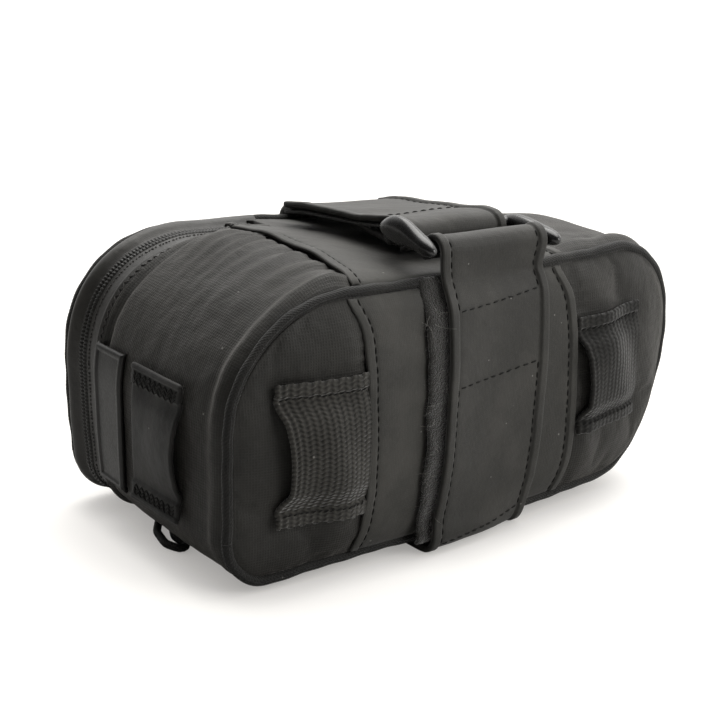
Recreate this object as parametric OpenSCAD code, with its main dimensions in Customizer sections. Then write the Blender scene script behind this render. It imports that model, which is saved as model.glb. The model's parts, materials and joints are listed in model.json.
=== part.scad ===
// Saddle bag for a bicycle: a stiffened, bowed box of fabric with a C-shaped zip, a wide wear band
// and a hook-and-loop strap that runs through a plastic ring.
// +X points forward, to the narrow nose. +Y is the zip side. +Z is up.
// The origin is the centre of the strap's underside, on the plane that the bag rests on.

/* [Body] */
// Distance from the strap's centre line back to the rear face
body_back = 81; // [78:1:90]
// Distance from the strap's centre line forward to the nose
body_front = 79; // [76:1:84]
// Width between the piped edges at the rear
rear_width = 82; // [78:1:90]
// Width between the piped edges at the nose
nose_width = 56; // [52:1:66]
// Height of the gusset at the rear
rear_height = 73; // [68:1:80]
// Height of the gusset at the nose
nose_height = 65; // [62:1:72]
// How far the nose's lower end is set back from its upper end
nose_lean = 16; // [8:1:20]
// How far each side panel bows outward between rear and nose
side_bow = 5.5; // [4:0.5:8]
// Extra belly of each side panel inside its piping
side_puff = 7; // [3:0.5:9]
// Share of the belly that the tight strap takes out under itself
waist = 0.6; // [0:0.1:0.7]
// Height of the gusset's underside above the resting plane
floor_gap = 4.2; // [4.2:0.1:5]

/* [Corners] */
// Radius of the rear lower corner, seen from the side
rear_low_r = 11; // [9:1:14]
// Radius of the nose's lower corner
nose_low_r = 20; // [14:1:24]
// Radius of the nose's upper corner
nose_top_r = 25; // [16:1:26]
// Radius of the rear upper corner
rear_top_r = 34; // [26:1:36]

/* [Fabric] */
// Thickness of the outer fabric
fabric_t = 0.8; // [0.6:0.1:0.9]
// Thickness of the foam stiffener
foam_t = 2.5; // [1.5:0.5:2.5]
// Thickness of the lining
lining_t = 0.5; // [0.3:0.1:0.5]
// Thickness of the coated wear band
band_t = 0.8; // [0.6:0.1:0.8]
// Width of the wear band behind the strap's centre line
band_back = 43.5; // [40:0.5:45]
// Width of the wear band in front of the strap's centre line
band_front = 30; // [26:1:32]
// Diameter of the piping bead across its seam
piping_d = 2.8; // [2.4:0.1:3]

/* [Strap] */
// Width of the strap
strap_w = 35; // [30:1:36]
// Thickness of the strap
strap_t = 1.8; // [1.4:0.1:1.8]
// Thickness of the loop pile under the strap
pile_t = 1.2; // [0.8:0.1:1.2]
// How far the pile layer stands out towards the rear
pile_shift = 4; // [0:1:6]
// How far the strap drifts to the rear on its way down the near side
strap_lean = 4.5; // [0:0.5:6]
// Length of the folded-back tail
tail_len = 51; // [36:1:52]
// Sideways drift of the tail's free end
tail_skew = 2; // [0:1:6]
// Radius of the ring's bars
bar_r = 2.1; // [1.8:0.1:2.1]
// Distance between the ring's bars
bar_gap = 16; // [15:0.5:17]

/* [Loops and tag] */
// Width of the elastic loops and the light loop
loop_w = 25; // [18:1:25]
// Thickness of the loop webbing
loop_t = 1.3; // [1:0.1:1.5]
// How far the elastic loops stand off the side panel
loop_stand = 3; // [1:0.5:5]
// Width of the rubber tag beside the zip
tag_w = 14; // [10:1:14]
// Height of the tag
tag_h = 37; // [30:1:38]
// Thickness of the tag
tag_t = 1.4; // [1:0.1:2]

/* [Zip] */
// Distance of the zip's centre line from the bag's middle plane
zip_y = 32; // [32:0.5:33]
// Width of one zip tape beside its coil
tape_w = 6.6; // [5:0.2:7]
// Width of one half of the coil
coil_w = 2; // [1.6:0.1:2]
// Height of the coil
coil_h = 1.8; // [1.4:0.1:1.8]
// Length of the slider
slider_l = 12; // [9:1:12]
// Width of the slider
slider_w = 9; // [7:0.5:9]
// Length of the pull tab
tab_l = 22; // [16:1:22]
// Length of the cord loop on the pull tab
cord_l = 44; // [30:1:46]

/* [Hidden] */

// Clearance between layers that touch on the real bag
gap = 0.15;
// Clearance between layers that follow the bellied side panels
belly_gap = 0.35;
// Half of the cut between the door and the fixed side at the hinge line
hinge_cut = 0.1;
arc_steps = 6;
edge_steps = 6;
side_steps = 14;
waist_len = 25;
round_fn = 48;
reach = 400;

piping_r = piping_d / 2;
length = body_back + body_front;
foam_inset = fabric_t + gap;
lining_inset = foam_inset + foam_t + gap;
binding_inset = lining_inset + lining_t + 0.6;
binding_w = 3;
binding_t = 1;
panel_inset = piping_r + 0.35;
strap_x = strap_w / 2;
ring_in = [1, 0.9, 0.72, 0.48, 0.24];

// ---------- plan shape of the sides ----------
chord = [length, (nose_width - rear_width) / 2];
chord_len = norm(chord);
chord_out = [-chord[1], chord[0]] / chord_len;
chord_mid = [(body_front - body_back) / 2, (rear_width + nose_width) / 4];
side_r = (chord_len * chord_len / 4 + side_bow * side_bow) / (2 * side_bow);
side_c = chord_mid - chord_out * (side_r - side_bow);

// Half width between the piped edges at x
function edge_y(x) = side_c[1] + sqrt(side_r * side_r - (x - side_c[0]) * (x - side_c[0]));
function top_z(x) =
    floor_gap + rear_height + (nose_height - rear_height) * (x + body_back) / length;
function hump(s) = max(0, 1 - pow(abs(s), 2.5));
function puff(x, z) =
    side_puff * (1 - waist * exp(-x * x / (waist_len * waist_len)))
    * hump((x - chord_mid[0]) / (length / 2))
    * hump((2 * z - floor_gap - top_z(x)) / (top_z(x) - floor_gap));
// Distance of the bellied side surface from the middle plane
function side_y(x, z) = edge_y(x) + puff(x, z);

// ---------- side outline with rounded corners, in x and z ----------
corners = [[-body_back, floor_gap], [body_front - nose_lean, floor_gap],
    [body_front, floor_gap + nose_height], [-body_back, floor_gap + rear_height]];
radii = [rear_low_r, nose_low_r, nose_top_r, rear_top_r];
function unit(v) = v / norm(v);
function out_normal(i) =
    let (d = unit(corners[(i + 1) % 4] - corners[i % 4])) [d[1], -d[0]];
function arc_centre(i) =
    let (n0 = out_normal(i + 3), n1 = out_normal(i))
    corners[i] - radii[i] * (n0 + n1) / (1 + n0 * n1);
function corner_arc(i, inset) =
    let (n0 = out_normal(i + 3), n1 = out_normal(i), a0 = atan2(n0[1], n0[0]),
        turn = (atan2(n1[1], n1[0]) - a0 + 720) % 360)
    [for (k = [0:arc_steps]) let (a = a0 + turn * k / arc_steps)
        arc_centre(i) + (radii[i] - inset) * [cos(a), sin(a)]];
function outline(inset) = [for (i = [0:3]) each corner_arc(i, inset)];
// The outline with points along its straight stretches as well
function fine_outline(inset) =
    [for (i = [0:3]) let (arc = corner_arc(i, inset), next = corner_arc((i + 1) % 4, inset),
        from = arc[arc_steps], to = next[0], steps = i % 2 == 0 ? edge_steps : 2)
        each concat(arc, [for (k = [1:steps - 1]) from + (to - from) * k / steps])];
rear_arc_c = arc_centre(3);
// The gusset's rear face at height z
function rear_x(z) = z < rear_arc_c[1]
    ? -body_back
    : rear_arc_c[0] - sqrt(rear_top_r * rear_top_r - pow(z - rear_arc_c[1], 2));

// ---------- hinge line of the door, zip and slider ----------
hinge_x = -strap_x - 5;
hinge_y = side_y(hinge_x, (floor_gap + top_z(hinge_x)) / 2) + fabric_t / 2 + 0.1;
slot_half = 0.7;
coil_in = zip_y - slot_half;
tape_in = coil_in - coil_w - gap / 2;
zip_near = tape_in - tape_w;
slider_x = hinge_x - 3 - slider_l / 2;
slider_gap = 0.25;
plate_t = 1.2;
plate_low = floor_gap - slider_gap - plate_t;
pin_r = 0.6;
pin_clear = 0.05;
eye_r = 1.2;
pin_x = slider_x + 1;
pin_z = plate_low - eye_r - 0.1;
tab_t = 1;
tab_w = 5;
cord_r = 1.1;
hole_r = 1.9;
hole_x = pin_x - tab_l + 3;
cord_turn = 46;
knot_r = 2.2;

// ---------- strap and ring, in y and z ----------
near_bar = [-edge_y(0) - 0.5, top_z(0) + band_t + 6.7];
ring_tilt = 1.5;
far_bar = near_bar + bar_gap * [cos(ring_tilt), sin(ring_tilt)];
wrap_r = bar_r + 0.25 + strap_t / 2;
end_r = 2.3;
end_x = strap_x + end_r + 0.3;
// Angle round the near bar at which the strap's sewn end stops
sewn_end = -40;
tail_y = far_bar[0];
tail_top = far_bar[1] + wrap_r + strap_t / 2;
peel_z = tail_top + 0.05;
// Height of the strap's centre line across the top, clear of the piping
run_z = top_z(-strap_x) + piping_r + 0.8 + strap_t / 2;
// How far the strap's centre line stays outside the piped edge where it turns over it
turn_out = piping_r + strap_t / 2 + 0.6;

// ---------- helpers ----------
module plate_between(low, high) {
    // A slice of space between two heights above the middle plane, far side only
    translate([-reach / 2, low, -reach / 2]) cube([reach, high - low, reach]);
}
module prism(inset) {
    rotate([90, 0, 0])
        linear_extrude(height = reach / 2, center = true)
            polygon(outline(inset));
}
// Everything inside the far side's bowed surface, less an inset
module side_disc(inset) {
    r = side_r - inset;
    arc = [for (x = steps(body_front + 12, -body_back - 12, side_steps))
        [x, side_c[1] + sqrt(r * r - (x - side_c[0]) * (x - side_c[0]))]];
    translate([0, 0, -reach / 2])
        linear_extrude(height = reach)
            polygon(concat(arc, [[-reach, -reach], [reach, -reach]]));
}
module between_sides(inset) {
    intersection() {
        side_disc(inset);
        mirror([0, 1, 0]) side_disc(inset);
    }
}
module core(inset, side_inset) {
    intersection() {
        prism(inset);
        between_sides(side_inset);
    }
}
// A closed band of the outline between two insets
module hoop(inset, thickness, side_inset) {
    difference() {
        core(inset, side_inset);
        prism(inset + thickness);
    }
}
module behind_hinge() {
    translate([hinge_x - hinge_cut - reach, -reach / 2, -reach / 2]) cube(reach);
}
module before_hinge() {
    translate([hinge_x + hinge_cut, -reach / 2, -reach / 2]) cube(reach);
}
// Everything on the zip side of y that is behind the hinge line
module door_space(y) {
    translate([hinge_x + hinge_cut - reach, y, -reach / 2]) cube(reach);
}
// A bead that follows the seam between side panel and gusset, far side
module bead() {
    difference() {
        intersection() {
            prism(-piping_r * 0.85);
            side_disc(-piping_r);
            plate_between(0, reach);
        }
        prism(piping_r * 1.15);
        side_disc(piping_r);
    }
}
module binding() {
    difference() {
        intersection() {
            prism(binding_inset);
            side_disc(binding_inset);
            plate_between(0, reach);
        }
        prism(binding_inset + binding_w);
        side_disc(binding_inset + binding_t);
    }
}
// A bellied sheet inside the outline, between two distances from the side surface
module puffed_sheet(inset, low, high) {
    middle = [chord_mid[0], (floor_gap + top_z(chord_mid[0])) / 2];
    rim = fine_outline(inset);
    n = len(rim);
    flat = concat([for (t = ring_in) for (p = rim) middle + t * (p - middle)], [middle]);
    count = len(flat);
    outer = [for (p = flat) [p[0], side_y(p[0], p[1]) + high, p[1]]];
    inner = [for (p = flat) [p[0], side_y(p[0], p[1]) + low, p[1]]];
    rings = len(ring_in);
    walls = [for (r = [0:rings - 2]) for (k = [0:n - 1]) let (j = (k + 1) % n)
        each [[r * n + k, r * n + j, r * n + n + j], [r * n + k, r * n + n + j, r * n + n + k]]];
    fan = [for (k = [0:n - 1]) [(rings - 1) * n + k, (rings - 1) * n + (k + 1) % n, count - 1]];
    face = concat(walls, fan);
    back = [for (f = face) [f[0] + count, f[2] + count, f[1] + count]];
    edge = [for (k = [0:n - 1]) let (j = (k + 1) % n)
        each [[k, k + count, j + count], [k, j + count, j]]];
    polyhedron(concat(outer, inner), concat(face, back, edge));
}
// Normal of a line of points in the y-z plane at point k
function line_normal(l, k) =
    let (a = l[max(0, k - 1)], b = l[min(len(l) - 1, k + 1)], d = unit([b[1] - a[1], b[2] - a[2]]))
    [0, -d[1], d[0]];
// A ribbon of thickness t over a grid: each line in lines is one run of points
module ribbon(lines, t) {
    m = len(lines);
    n = len(lines[0]);
    up = [for (l = lines) for (k = [0:n - 1]) l[k] + line_normal(l, k) * t / 2];
    down = [for (l = lines) for (k = [0:n - 1]) l[k] - line_normal(l, k) * t / 2];
    c = m * n;
    top = [for (i = [0:m - 2]) for (k = [0:n - 2]) let (a = i * n + k)
        each [[a, a + 1, a + n + 1], [a, a + n + 1, a + n]]];
    bottom = [for (f = top) [f[0] + c, f[2] + c, f[1] + c]];
    first = [for (k = [0:n - 2]) each [[k, k + c, k + 1 + c], [k, k + 1 + c, k + 1]]];
    last = [for (k = [0:n - 2]) let (a = (m - 1) * n + k)
        each [[a, a + 1, a + 1 + c], [a, a + 1 + c, a + c]]];
    left = [for (i = [0:m - 2]) let (a = i * n) each [[a, a + n, a + n + c], [a, a + n + c, a + c]]];
    right = [for (i = [0:m - 2]) let (a = i * n + n - 1)
        each [[a, a + c, a + n + c], [a, a + n + c, a + n]]];
    polyhedron(concat(up, down), concat(top, bottom, first, last, left, right));
}
function reverse(l) = [for (k = [len(l) - 1:-1:0]) l[k]];
function steps(from, to, n) = [for (k = [0:n]) from + (to - from) * k / n];
// A patch on the side surface: stand(v) is its distance from the surface, v runs 0 to 1 upwards
function patch(x0, x1, z0, z1, nz, base, stand) =
    [for (x = steps(x0, x1, 4)) [for (v = steps(0, 1, nz)) let (z = z0 + (z1 - z0) * v)
        [x, side_y(x, z) + base + stand * sin(180 * v), z]]];
module right_side() { mirror([0, 1, 0]) children(); }
// A rounded rectangle about the origin
function round_box(w, h, r) =
    [for (q = [0:3]) for (k = [0:4]) let (a = 90 * q + 90 * k / 4,
        sx = (q == 0 || q == 3) ? 1 : -1, sy = q < 2 ? 1 : -1)
        [sx * (w / 2 - r) + r * cos(a), sy * (h / 2 - r) + r * sin(a)]];
// Arc of points round a centre in the y-z plane
function arc_yz(c, r, a0, a1, n) = [for (a = steps(a0, a1, n)) c + r * [cos(a), sin(a)]];

// ---------- the strap's path, in y and z, at one x ----------
// The strap's drift to the rear, down the near side and back underneath
function ease(s) = let (c = min(1, max(0, s))) c * c * (3 - 2 * c);
function lean(y, z) =
    -strap_lean * ease((top_z(0) - z) / 35) * ease(0.5 - y / (2 * edge_y(0)));
// Distance of the strap's centre line from the side surface
near_off = fabric_t / 2 + belly_gap + band_t + belly_gap + pile_t + belly_gap + strap_t / 2;
far_off = fabric_t / 2 + belly_gap + band_t + belly_gap + strap_t / 2;
side_low = floor_gap + 6;
side_high = top_z(0) - 6;
under_z = strap_t / 2;
function near_run(x) =
    [for (z = steps(side_high, side_low, 9)) [-side_y(x + lean(-reach, z), z) - near_off, z]];
function far_run(x) =
    [for (z = steps(side_low, side_high, 9)) [side_y(x, z) + far_off, z]];
function turn_under(y, out) =
    [[y - out * 0.4, under_z + 4], [y - out * 1.9, under_z + 1.2], [y - out * 5.4, under_z]];
function strap_line(x) =
    let (near = near_run(x), far = far_run(x), out = edge_y(x) + turn_out, top = top_z(x),
        under = edge_y(x) * 0.6)
    [for (p = concat(
        arc_yz(near_bar, wrap_r, sewn_end, 180, 10),
        [[-out + 0.3, top + piping_r], [-out, top - 1]],
        near,
        turn_under(near[9][0] - 0.8, -1),
        [for (y = steps(-under, under, 4)) [y, under_z]],
        reverse(turn_under(far[0][0], 1)),
        far,
        [[out, top - 1], [out, top + piping_r], [out - 1.5, run_z - 0.4], [out - 4.7, run_z]],
        [for (y = [20, 6]) [y, run_top(y) - strap_t / 2]],
        [[tail_y + 9, far_bar[1] - wrap_r], [tail_y + 0.3, far_bar[1] - wrap_r]]))
        [x + lean(p[0], p[1]), p[0], p[1]]];
// Height of the tail's centre line at y
tail_drop = 3.8;
function tail_z(y) =
    let (s = (y - tail_y) / tail_len) far_bar[1] + wrap_r - tail_drop * s * s * (3 - 2 * s);
// Height of the top run's upper face at y: it climbs to the far bar
function run_top(y) = let (s = max(0, (y - 20) / (tail_y + 9 - 20)))
    run_z + (far_bar[1] - wrap_r - run_z) * s * s + strap_t / 2;

// ---------- gusset and side panels ----------
module gusset() {
    color("#26241f")
        difference() {
            hoop(0, fabric_t, piping_r + 0.1);
            door_space(zip_near - gap / 2);
        }
}
module gusset_foam() {
    color("#8a8a86")
        difference() {
            hoop(foam_inset, foam_t, lining_inset - 0.3);
            door_space(zip_near - gap);
        }
}
module lining_shell() {
    difference() {
        core(lining_inset, lining_inset);
        core(lining_inset + lining_t, lining_inset + lining_t);
    }
}
module main_lining() {
    color("#4d5257")
        difference() {
            lining_shell();
            door_space(zip_near);
        }
}
module panel() { puffed_sheet(panel_inset, -fabric_t / 2, fabric_t / 2); }
module panel_foam() {
    outer = -fabric_t / 2 - belly_gap;
    puffed_sheet(foam_inset + foam_t, outer - foam_t, outer);
}
module side_panel_right() { color("#2a2823") right_side() panel(); }
module side_foam_right() { color("#8a8a86") right_side() panel_foam(); }
module side_panel_left() {
    color("#2a2823")
        intersection() {
            panel();
            before_hinge();
        }
}
module side_foam_left() {
    color("#8a8a86")
        intersection() {
            panel_foam();
            before_hinge();
        }
}
module piping_right() { color("#1d1c19") right_side() bead(); }
module piping_left() {
    color("#1d1c19")
        intersection() {
            bead();
            before_hinge();
        }
}
module seam_binding_right() { color("#333333") right_side() binding(); }
module seam_binding_left() {
    color("#333333")
        intersection() {
            binding();
            before_hinge();
        }
}

// ---------- wear band ----------
band_off = fabric_t / 2 + belly_gap + band_t / 2;
band_edge = panel_inset + 0.6;
function band_lines(x0) =
    [for (x = steps(x0, band_front, 5)) [for (v = steps(0, 1, 12))
        let (z = floor_gap + band_edge + (top_z(x) - floor_gap - 2 * band_edge) * v)
        [x, side_y(x, z) + band_off, z]]];
module band_right() { color("#33312c") right_side() ribbon(band_lines(-band_back), band_t); }
module band_left() { color("#33312c") ribbon(band_lines(hinge_x + 2), band_t); }
// The stretch of the band over the gusset, above or below
module band_over(z0) {
    intersection() {
        difference() {
            prism(-gap - band_t);
            prism(-gap);
        }
        between_sides(piping_r + 0.3);
        translate([-band_back, -reach / 2, z0]) cube([band_back + band_front, reach, reach / 8]);
        union() {
            translate([-reach / 2, -reach, -reach / 2]) cube([reach, reach + zip_near - 0.5, reach]);
            translate([hinge_x + 2, -reach / 2, -reach / 2]) cube(reach);
        }
    }
}
module band_top() { color("#33312c") band_over(floor_gap + rear_height / 2); }
module band_bottom() { color("#33312c") band_over(floor_gap + rear_height / 2 - reach / 8); }

// ---------- loops and tag ----------
loop_low = floor_gap + 14;
loop_high = loop_low + 37;
front_loop_low = floor_gap + 19;
front_loop_high = front_loop_low + 32;
loop_off = fabric_t / 2 + belly_gap + loop_t / 2;
module elastic_loop_rear() {
    color("#3a3934")
        right_side()
            ribbon(patch(-band_back - 0.5 - loop_w, -band_back - 0.5, loop_low, loop_high, 10,
                loop_off, loop_stand), loop_t);
}
module elastic_loop_front() {
    color("#3a3934")
        right_side()
            ribbon(patch(band_front + 0.5, band_front + 0.5 + loop_w, front_loop_low,
                front_loop_high, 10, loop_off, loop_stand * 0.7), loop_t);
}
// A strip on the rear face: stand is how far its middle lifts off
module rear_strip(z0, z1, t, stand, y0, y1) {
    v = steps(0, 1, 14);
    near = [for (s = v) let (z = z0 + (z1 - z0) * s) [rear_x(z) - gap - stand * sin(180 * s), z]];
    translate([0, y1, 0])
        rotate([90, 0, 0])
            linear_extrude(height = y1 - y0)
                polygon(concat(near, [for (k = [14:-1:0]) near[k] - [t, 0]]));
}
light_low = floor_gap + 11.3;
light_len = 35.5;
light_y = (zip_near - edge_y(-body_back)) / 2 - loop_w / 2 + 0.5;
module light_loop() {
    color("#2b2a26")
        rear_strip(light_low, light_low + light_len, loop_t, 2.5, light_y, light_y + loop_w);
}
tag_low = floor_gap + 10.3;
module rear_tag() {
    color("#171614")
        rear_strip(tag_low, tag_low + tag_h, tag_t, 0, zip_near - 1.5 - tag_w, zip_near - 1.5);
}

// ---------- zip ----------
module zip_strip(inset, t, y0, y1) {
    intersection() {
        hoop(inset, t, piping_r + 0.2);
        plate_between(y0, y1);
        behind_hinge();
    }
}
module zip_tape_main() { color("#3b3732") zip_strip(gap / 2, fabric_t, zip_near, tape_in); }
module zip_coil_main() {
    color("#1b1a18") zip_strip(0, coil_h, tape_in + gap / 2, coil_in);
}
module zip_tape_door() {
    color("#3b3732") zip_strip(gap / 2, fabric_t, 2 * zip_y - tape_in, reach);
}
module zip_coil_door() {
    color("#1b1a18")
        zip_strip(0, coil_h, 2 * zip_y - coil_in, 2 * zip_y - tape_in - gap / 2);
}
// One crimped bar across both ends of the coil, above and below
stop_l = 1.6;
stop_x = hinge_x + hinge_cut + 0.2;
module zip_end_stops() {
    color("#8f8f8c")
        for (z = [floor_gap - gap - 1, top_z(stop_x) + gap])
            translate([stop_x, zip_y - coil_w - 0.5, z]) cube([stop_l, 2 * coil_w + 1, 1]);
}
module slider_plate(z) {
    translate([slider_x, zip_y, z])
        linear_extrude(height = plate_t) polygon(round_box(slider_l, slider_w, 2));
}
post_w = 1;
post_l = 3;
lug_t = 1;
lug_l = 2.8;
eye_w = 4;
module zip_slider() {
    lug_y = eye_w / 2 + 0.1 + lug_t / 2;
    color("#6f6f6d") {
        slider_plate(plate_low);
        slider_plate(floor_gap + coil_h + slider_gap);
        translate([slider_x + slider_l / 2 - post_l, zip_y - post_w / 2, plate_low])
            cube([post_l, post_w, coil_h + 2 * slider_gap + 2 * plate_t]);
        for (s = [-1, 1])
            translate([pin_x - lug_l / 2, zip_y + s * lug_y - lug_t / 2, pin_z - lug_l / 3])
                cube([lug_l, lug_t, plate_low + 0.2 - pin_z + lug_l / 3]);
        translate([pin_x, zip_y, pin_z])
            rotate([90, 0, 0])
                cylinder(r = pin_r, h = 2 * lug_y, center = true, $fn = round_fn);
    }
}
module pull_tab() {
    color("#7c7c79")
        difference() {
            union() {
                translate([pin_x, zip_y, pin_z])
                    rotate([90, 0, 0])
                        cylinder(r = eye_r, h = eye_w, center = true, $fn = round_fn);
                translate([pin_x - tab_l, zip_y - eye_w / 2, pin_z - tab_t / 2])
                    cube([tab_l, eye_w, tab_t]);
                translate([hole_x, zip_y, pin_z - tab_t / 2])
                    cylinder(r = tab_w / 2 + 0.6, h = tab_t, $fn = round_fn);
            }
            translate([pin_x, zip_y, pin_z])
                rotate([90, 0, 0])
                    cylinder(r = pin_r + pin_clear, h = reach, center = true, $fn = round_fn);
            translate([hole_x, zip_y, 0])
                cylinder(r = hole_r, h = reach, center = true, $fn = round_fn);
            translate([hole_x - reach - 3, zip_y - reach / 2, 0]) cube(reach);
        }
}
// Two strands of cord that turn round at the far end and meet in a knot beside the tab
module pull_cord() {
    half = cord_r + 0.1;
    color("#1c1b19")
        translate([hole_x, zip_y, pin_z])
            rotate([0, 0, cord_turn]) {
                for (s = [-1, 1])
                    translate([-cord_l, s * half, 0])
                        rotate([0, 90, 0])
                            cylinder(r = cord_r, h = cord_l - hole_r - 3, $fn = round_fn);
                translate([-cord_l, 0, 0])
                    rotate([0, 0, 90])
                        rotate_extrude(angle = 180, $fn = round_fn)
                            translate([half, 0]) circle(r = cord_r, $fn = round_fn);
                translate([-hole_r - 7, 0, 0]) sphere(r = knot_r, $fn = round_fn);
            }
}

// ---------- strap and ring ----------
strap_xs = [-strap_x, 0, strap_x];
module strap() { color("#35332e") ribbon([for (x = strap_xs) strap_line(x)], strap_t); }
pile_off = fabric_t / 2 + 2 * belly_gap + band_t + pile_t / 2;
module strap_pile() {
    color("#151412")
        right_side()
            ribbon([for (side = steps(-strap_x, strap_x, 4))
                [for (z = steps(side_low, side_high, 9))
                    let (x = side - pile_shift + lean(-reach, z)) [x, side_y(x, z) + pile_off, z]]],
                pile_t);
}
pad_t = 0.6;
hook_t = 0.4;
module strap_loop_pad() {
    color("#151412")
        ribbon([for (x = [-strap_x + 1, strap_x - 1])
            [for (y = steps(-8, 28, 6)) [x, y, run_top(y) + 0.1 + pad_t / 2]]], pad_t);
}
module strap_bend() {
    color("#35332e")
        ribbon([for (x = strap_xs) [for (p = arc_yz(far_bar, wrap_r, 270, 90, 12)) [x, p[0], p[1]]]],
            strap_t);
}
function tail_line(side, y0, y1, drop) =
    [for (y = steps(y0, y1, 6)) [side - tail_skew * (y - tail_y) / tail_len, y, tail_z(y) - drop]];
module strap_tail() {
    color("#35332e")
        ribbon([for (side = [-strap_x, strap_x])
            tail_line(side, tail_y + 0.2, tail_y + tail_len, 0)], strap_t);
}
module tail_hook_pad() {
    color("#1f1e1b")
        ribbon([for (side = [-strap_x + 1, strap_x - 1])
            tail_line(side, tail_y + 12, tail_y + tail_len - 1, strap_t / 2 + 0.1 + hook_t / 2)],
            hook_t);
}
module ring_bar(p) {
    translate([0, p[0], p[1]])
        rotate([0, 90, 0])
            cylinder(r = bar_r, h = 2 * end_x, center = true, $fn = round_fn);
}
// How far the ring's end pieces pass its bars
overhang = 1.6;
module buckle_ring() {
    color("#0e0e0e") {
        ring_bar(near_bar);
        ring_bar(far_bar);
        for (s = [-1, 1])
            translate([s * end_x, near_bar[0], near_bar[1]])
                rotate([ring_tilt, 0, 0]) {
                    translate([0, -overhang, 0])
                        rotate([-90, 0, 0])
                            cylinder(r = end_r, h = bar_gap + 2 * overhang, $fn = round_fn);
                    for (y = [-overhang, bar_gap + overhang])
                        translate([0, y, 0]) sphere(r = end_r, $fn = round_fn);
                }
    }
}

// ---------- door: the rear part of the zip side ----------
module door_panel() {
    color("#2a2823")
        intersection() {
            panel();
            behind_hinge();
        }
}
module door_foam() {
    color("#8a8a86")
        intersection() {
            panel_foam();
            behind_hinge();
        }
}
module door_lining() {
    color("#4d5257")
        intersection() {
            lining_shell();
            plate_between(zip_y + slider_w / 2 - 0.5, reach);
            behind_hinge();
        }
}
module door_piping() {
    color("#1d1c19")
        intersection() {
            bead();
            behind_hinge();
        }
}
module door_binding() {
    color("#333333")
        intersection() {
            binding();
            behind_hinge();
        }
}

gusset();
gusset_foam();
main_lining();
side_panel_right();
side_foam_right();
side_panel_left();
side_foam_left();
piping_right();
piping_left();
seam_binding_right();
seam_binding_left();
band_right();
band_left();
band_top();
band_bottom();
elastic_loop_rear();
elastic_loop_front();
light_loop();
rear_tag();
zip_tape_main();
zip_coil_main();
zip_end_stops();
strap();
strap_pile();
strap_loop_pad();
door_panel();
door_foam();
door_lining();
door_piping();
door_binding();
zip_tape_door();
zip_coil_door();
zip_slider();
pull_tab();
pull_cord();
buckle_ring();
strap_bend();
strap_tail();
tail_hook_pad();
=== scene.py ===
import json
import math

import bpy
import numpy as np
from mathutils import Matrix, Vector, noise


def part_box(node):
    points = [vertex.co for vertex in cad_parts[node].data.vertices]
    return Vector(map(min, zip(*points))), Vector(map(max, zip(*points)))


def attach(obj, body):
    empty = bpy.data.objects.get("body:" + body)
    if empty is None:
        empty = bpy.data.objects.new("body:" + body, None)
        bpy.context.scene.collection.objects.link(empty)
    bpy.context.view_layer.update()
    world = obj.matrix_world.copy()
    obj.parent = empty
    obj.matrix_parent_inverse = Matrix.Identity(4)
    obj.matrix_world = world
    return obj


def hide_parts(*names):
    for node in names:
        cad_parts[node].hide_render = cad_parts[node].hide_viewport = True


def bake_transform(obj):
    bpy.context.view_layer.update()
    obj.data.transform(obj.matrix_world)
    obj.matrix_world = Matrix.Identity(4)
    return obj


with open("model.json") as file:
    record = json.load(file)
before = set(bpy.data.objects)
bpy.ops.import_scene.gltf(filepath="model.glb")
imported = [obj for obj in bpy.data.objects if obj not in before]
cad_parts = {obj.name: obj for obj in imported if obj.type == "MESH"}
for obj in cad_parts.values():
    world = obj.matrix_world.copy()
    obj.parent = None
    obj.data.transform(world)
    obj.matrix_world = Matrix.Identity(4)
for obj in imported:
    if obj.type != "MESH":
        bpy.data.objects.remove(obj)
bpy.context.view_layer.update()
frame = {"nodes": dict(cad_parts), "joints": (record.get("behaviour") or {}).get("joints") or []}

# The soft skin, webbing, zip and stitching of a saddle bag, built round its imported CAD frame.
# Shapes are worked out in millimetres and scaled to metres when a mesh is made.
# u runs along a sheet's first direction and v along its second; texture coordinates are in mm.

MM = 0.001
RANDOM = np.random.default_rng(7)


def low(node):
    return np.array(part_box(node)[0]) / MM


def high(node):
    return np.array(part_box(node)[1]) / MM


# ---------- driving dimensions, in mm ----------
BACK = -low("gusset")[0]
FRONT = 79.0
LENGTH = BACK + FRONT
FLOOR_GAP = low("gusset")[2]
REAR_WIDTH, NOSE_WIDTH = 82.0, 56.0
REAR_HEIGHT, NOSE_HEIGHT = 73.0, 65.0
NOSE_LEAN = 16.0
SIDE_BOW, SIDE_PUFF = 5.5, 7.0
WAIST, WAIST_LEN = 0.6, 25.0
CORNER_RADII = (11.0, 20.0, 25.0, 34.0)
RIM_STEP = 0.8
FABRIC = 0.8
FOAM = 2.5
LINING = 0.5
PIPING_R = 1.4
BAND_BACK, BAND_FRONT = low("band_right")[0], high("band_right")[0]
JOINTS = {j["name"]: j for j in frame["joints"]}
HINGE_X, HINGE_Y = (v / MM for v in JOINTS["door_swing"]["pos_m"][:2])
NEAR_BAR = np.array(JOINTS["ring_pivot"]["pos_m"][1:]) / MM
TAIL_Y, PEEL_Z = (v / MM for v in JOINTS["tail_peel"]["pos_m"][1:])
ZIP_NEAR = low("zip_tape_main")[1]
ZIP_Y = 32.0
STRAP_HALF = 17.5
STRAP_T = 1.8
STRAP_LEAN = 5.2
WRAP_R = 3.25
BAR_R = 2.1
FAR_BAR = np.array([TAIL_Y, PEEL_Z - 0.05 - STRAP_T / 2 - WRAP_R])
RUN_Z = low("strap_loop_pad")[2] - 1.0
CHORD_MID_X = (FRONT - BACK) / 2
BAG_CENTRE = np.array([CHORD_MID_X, 0.0, 38.0])
FAR_BELOW = np.array([0, 0, -300.0])

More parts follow.
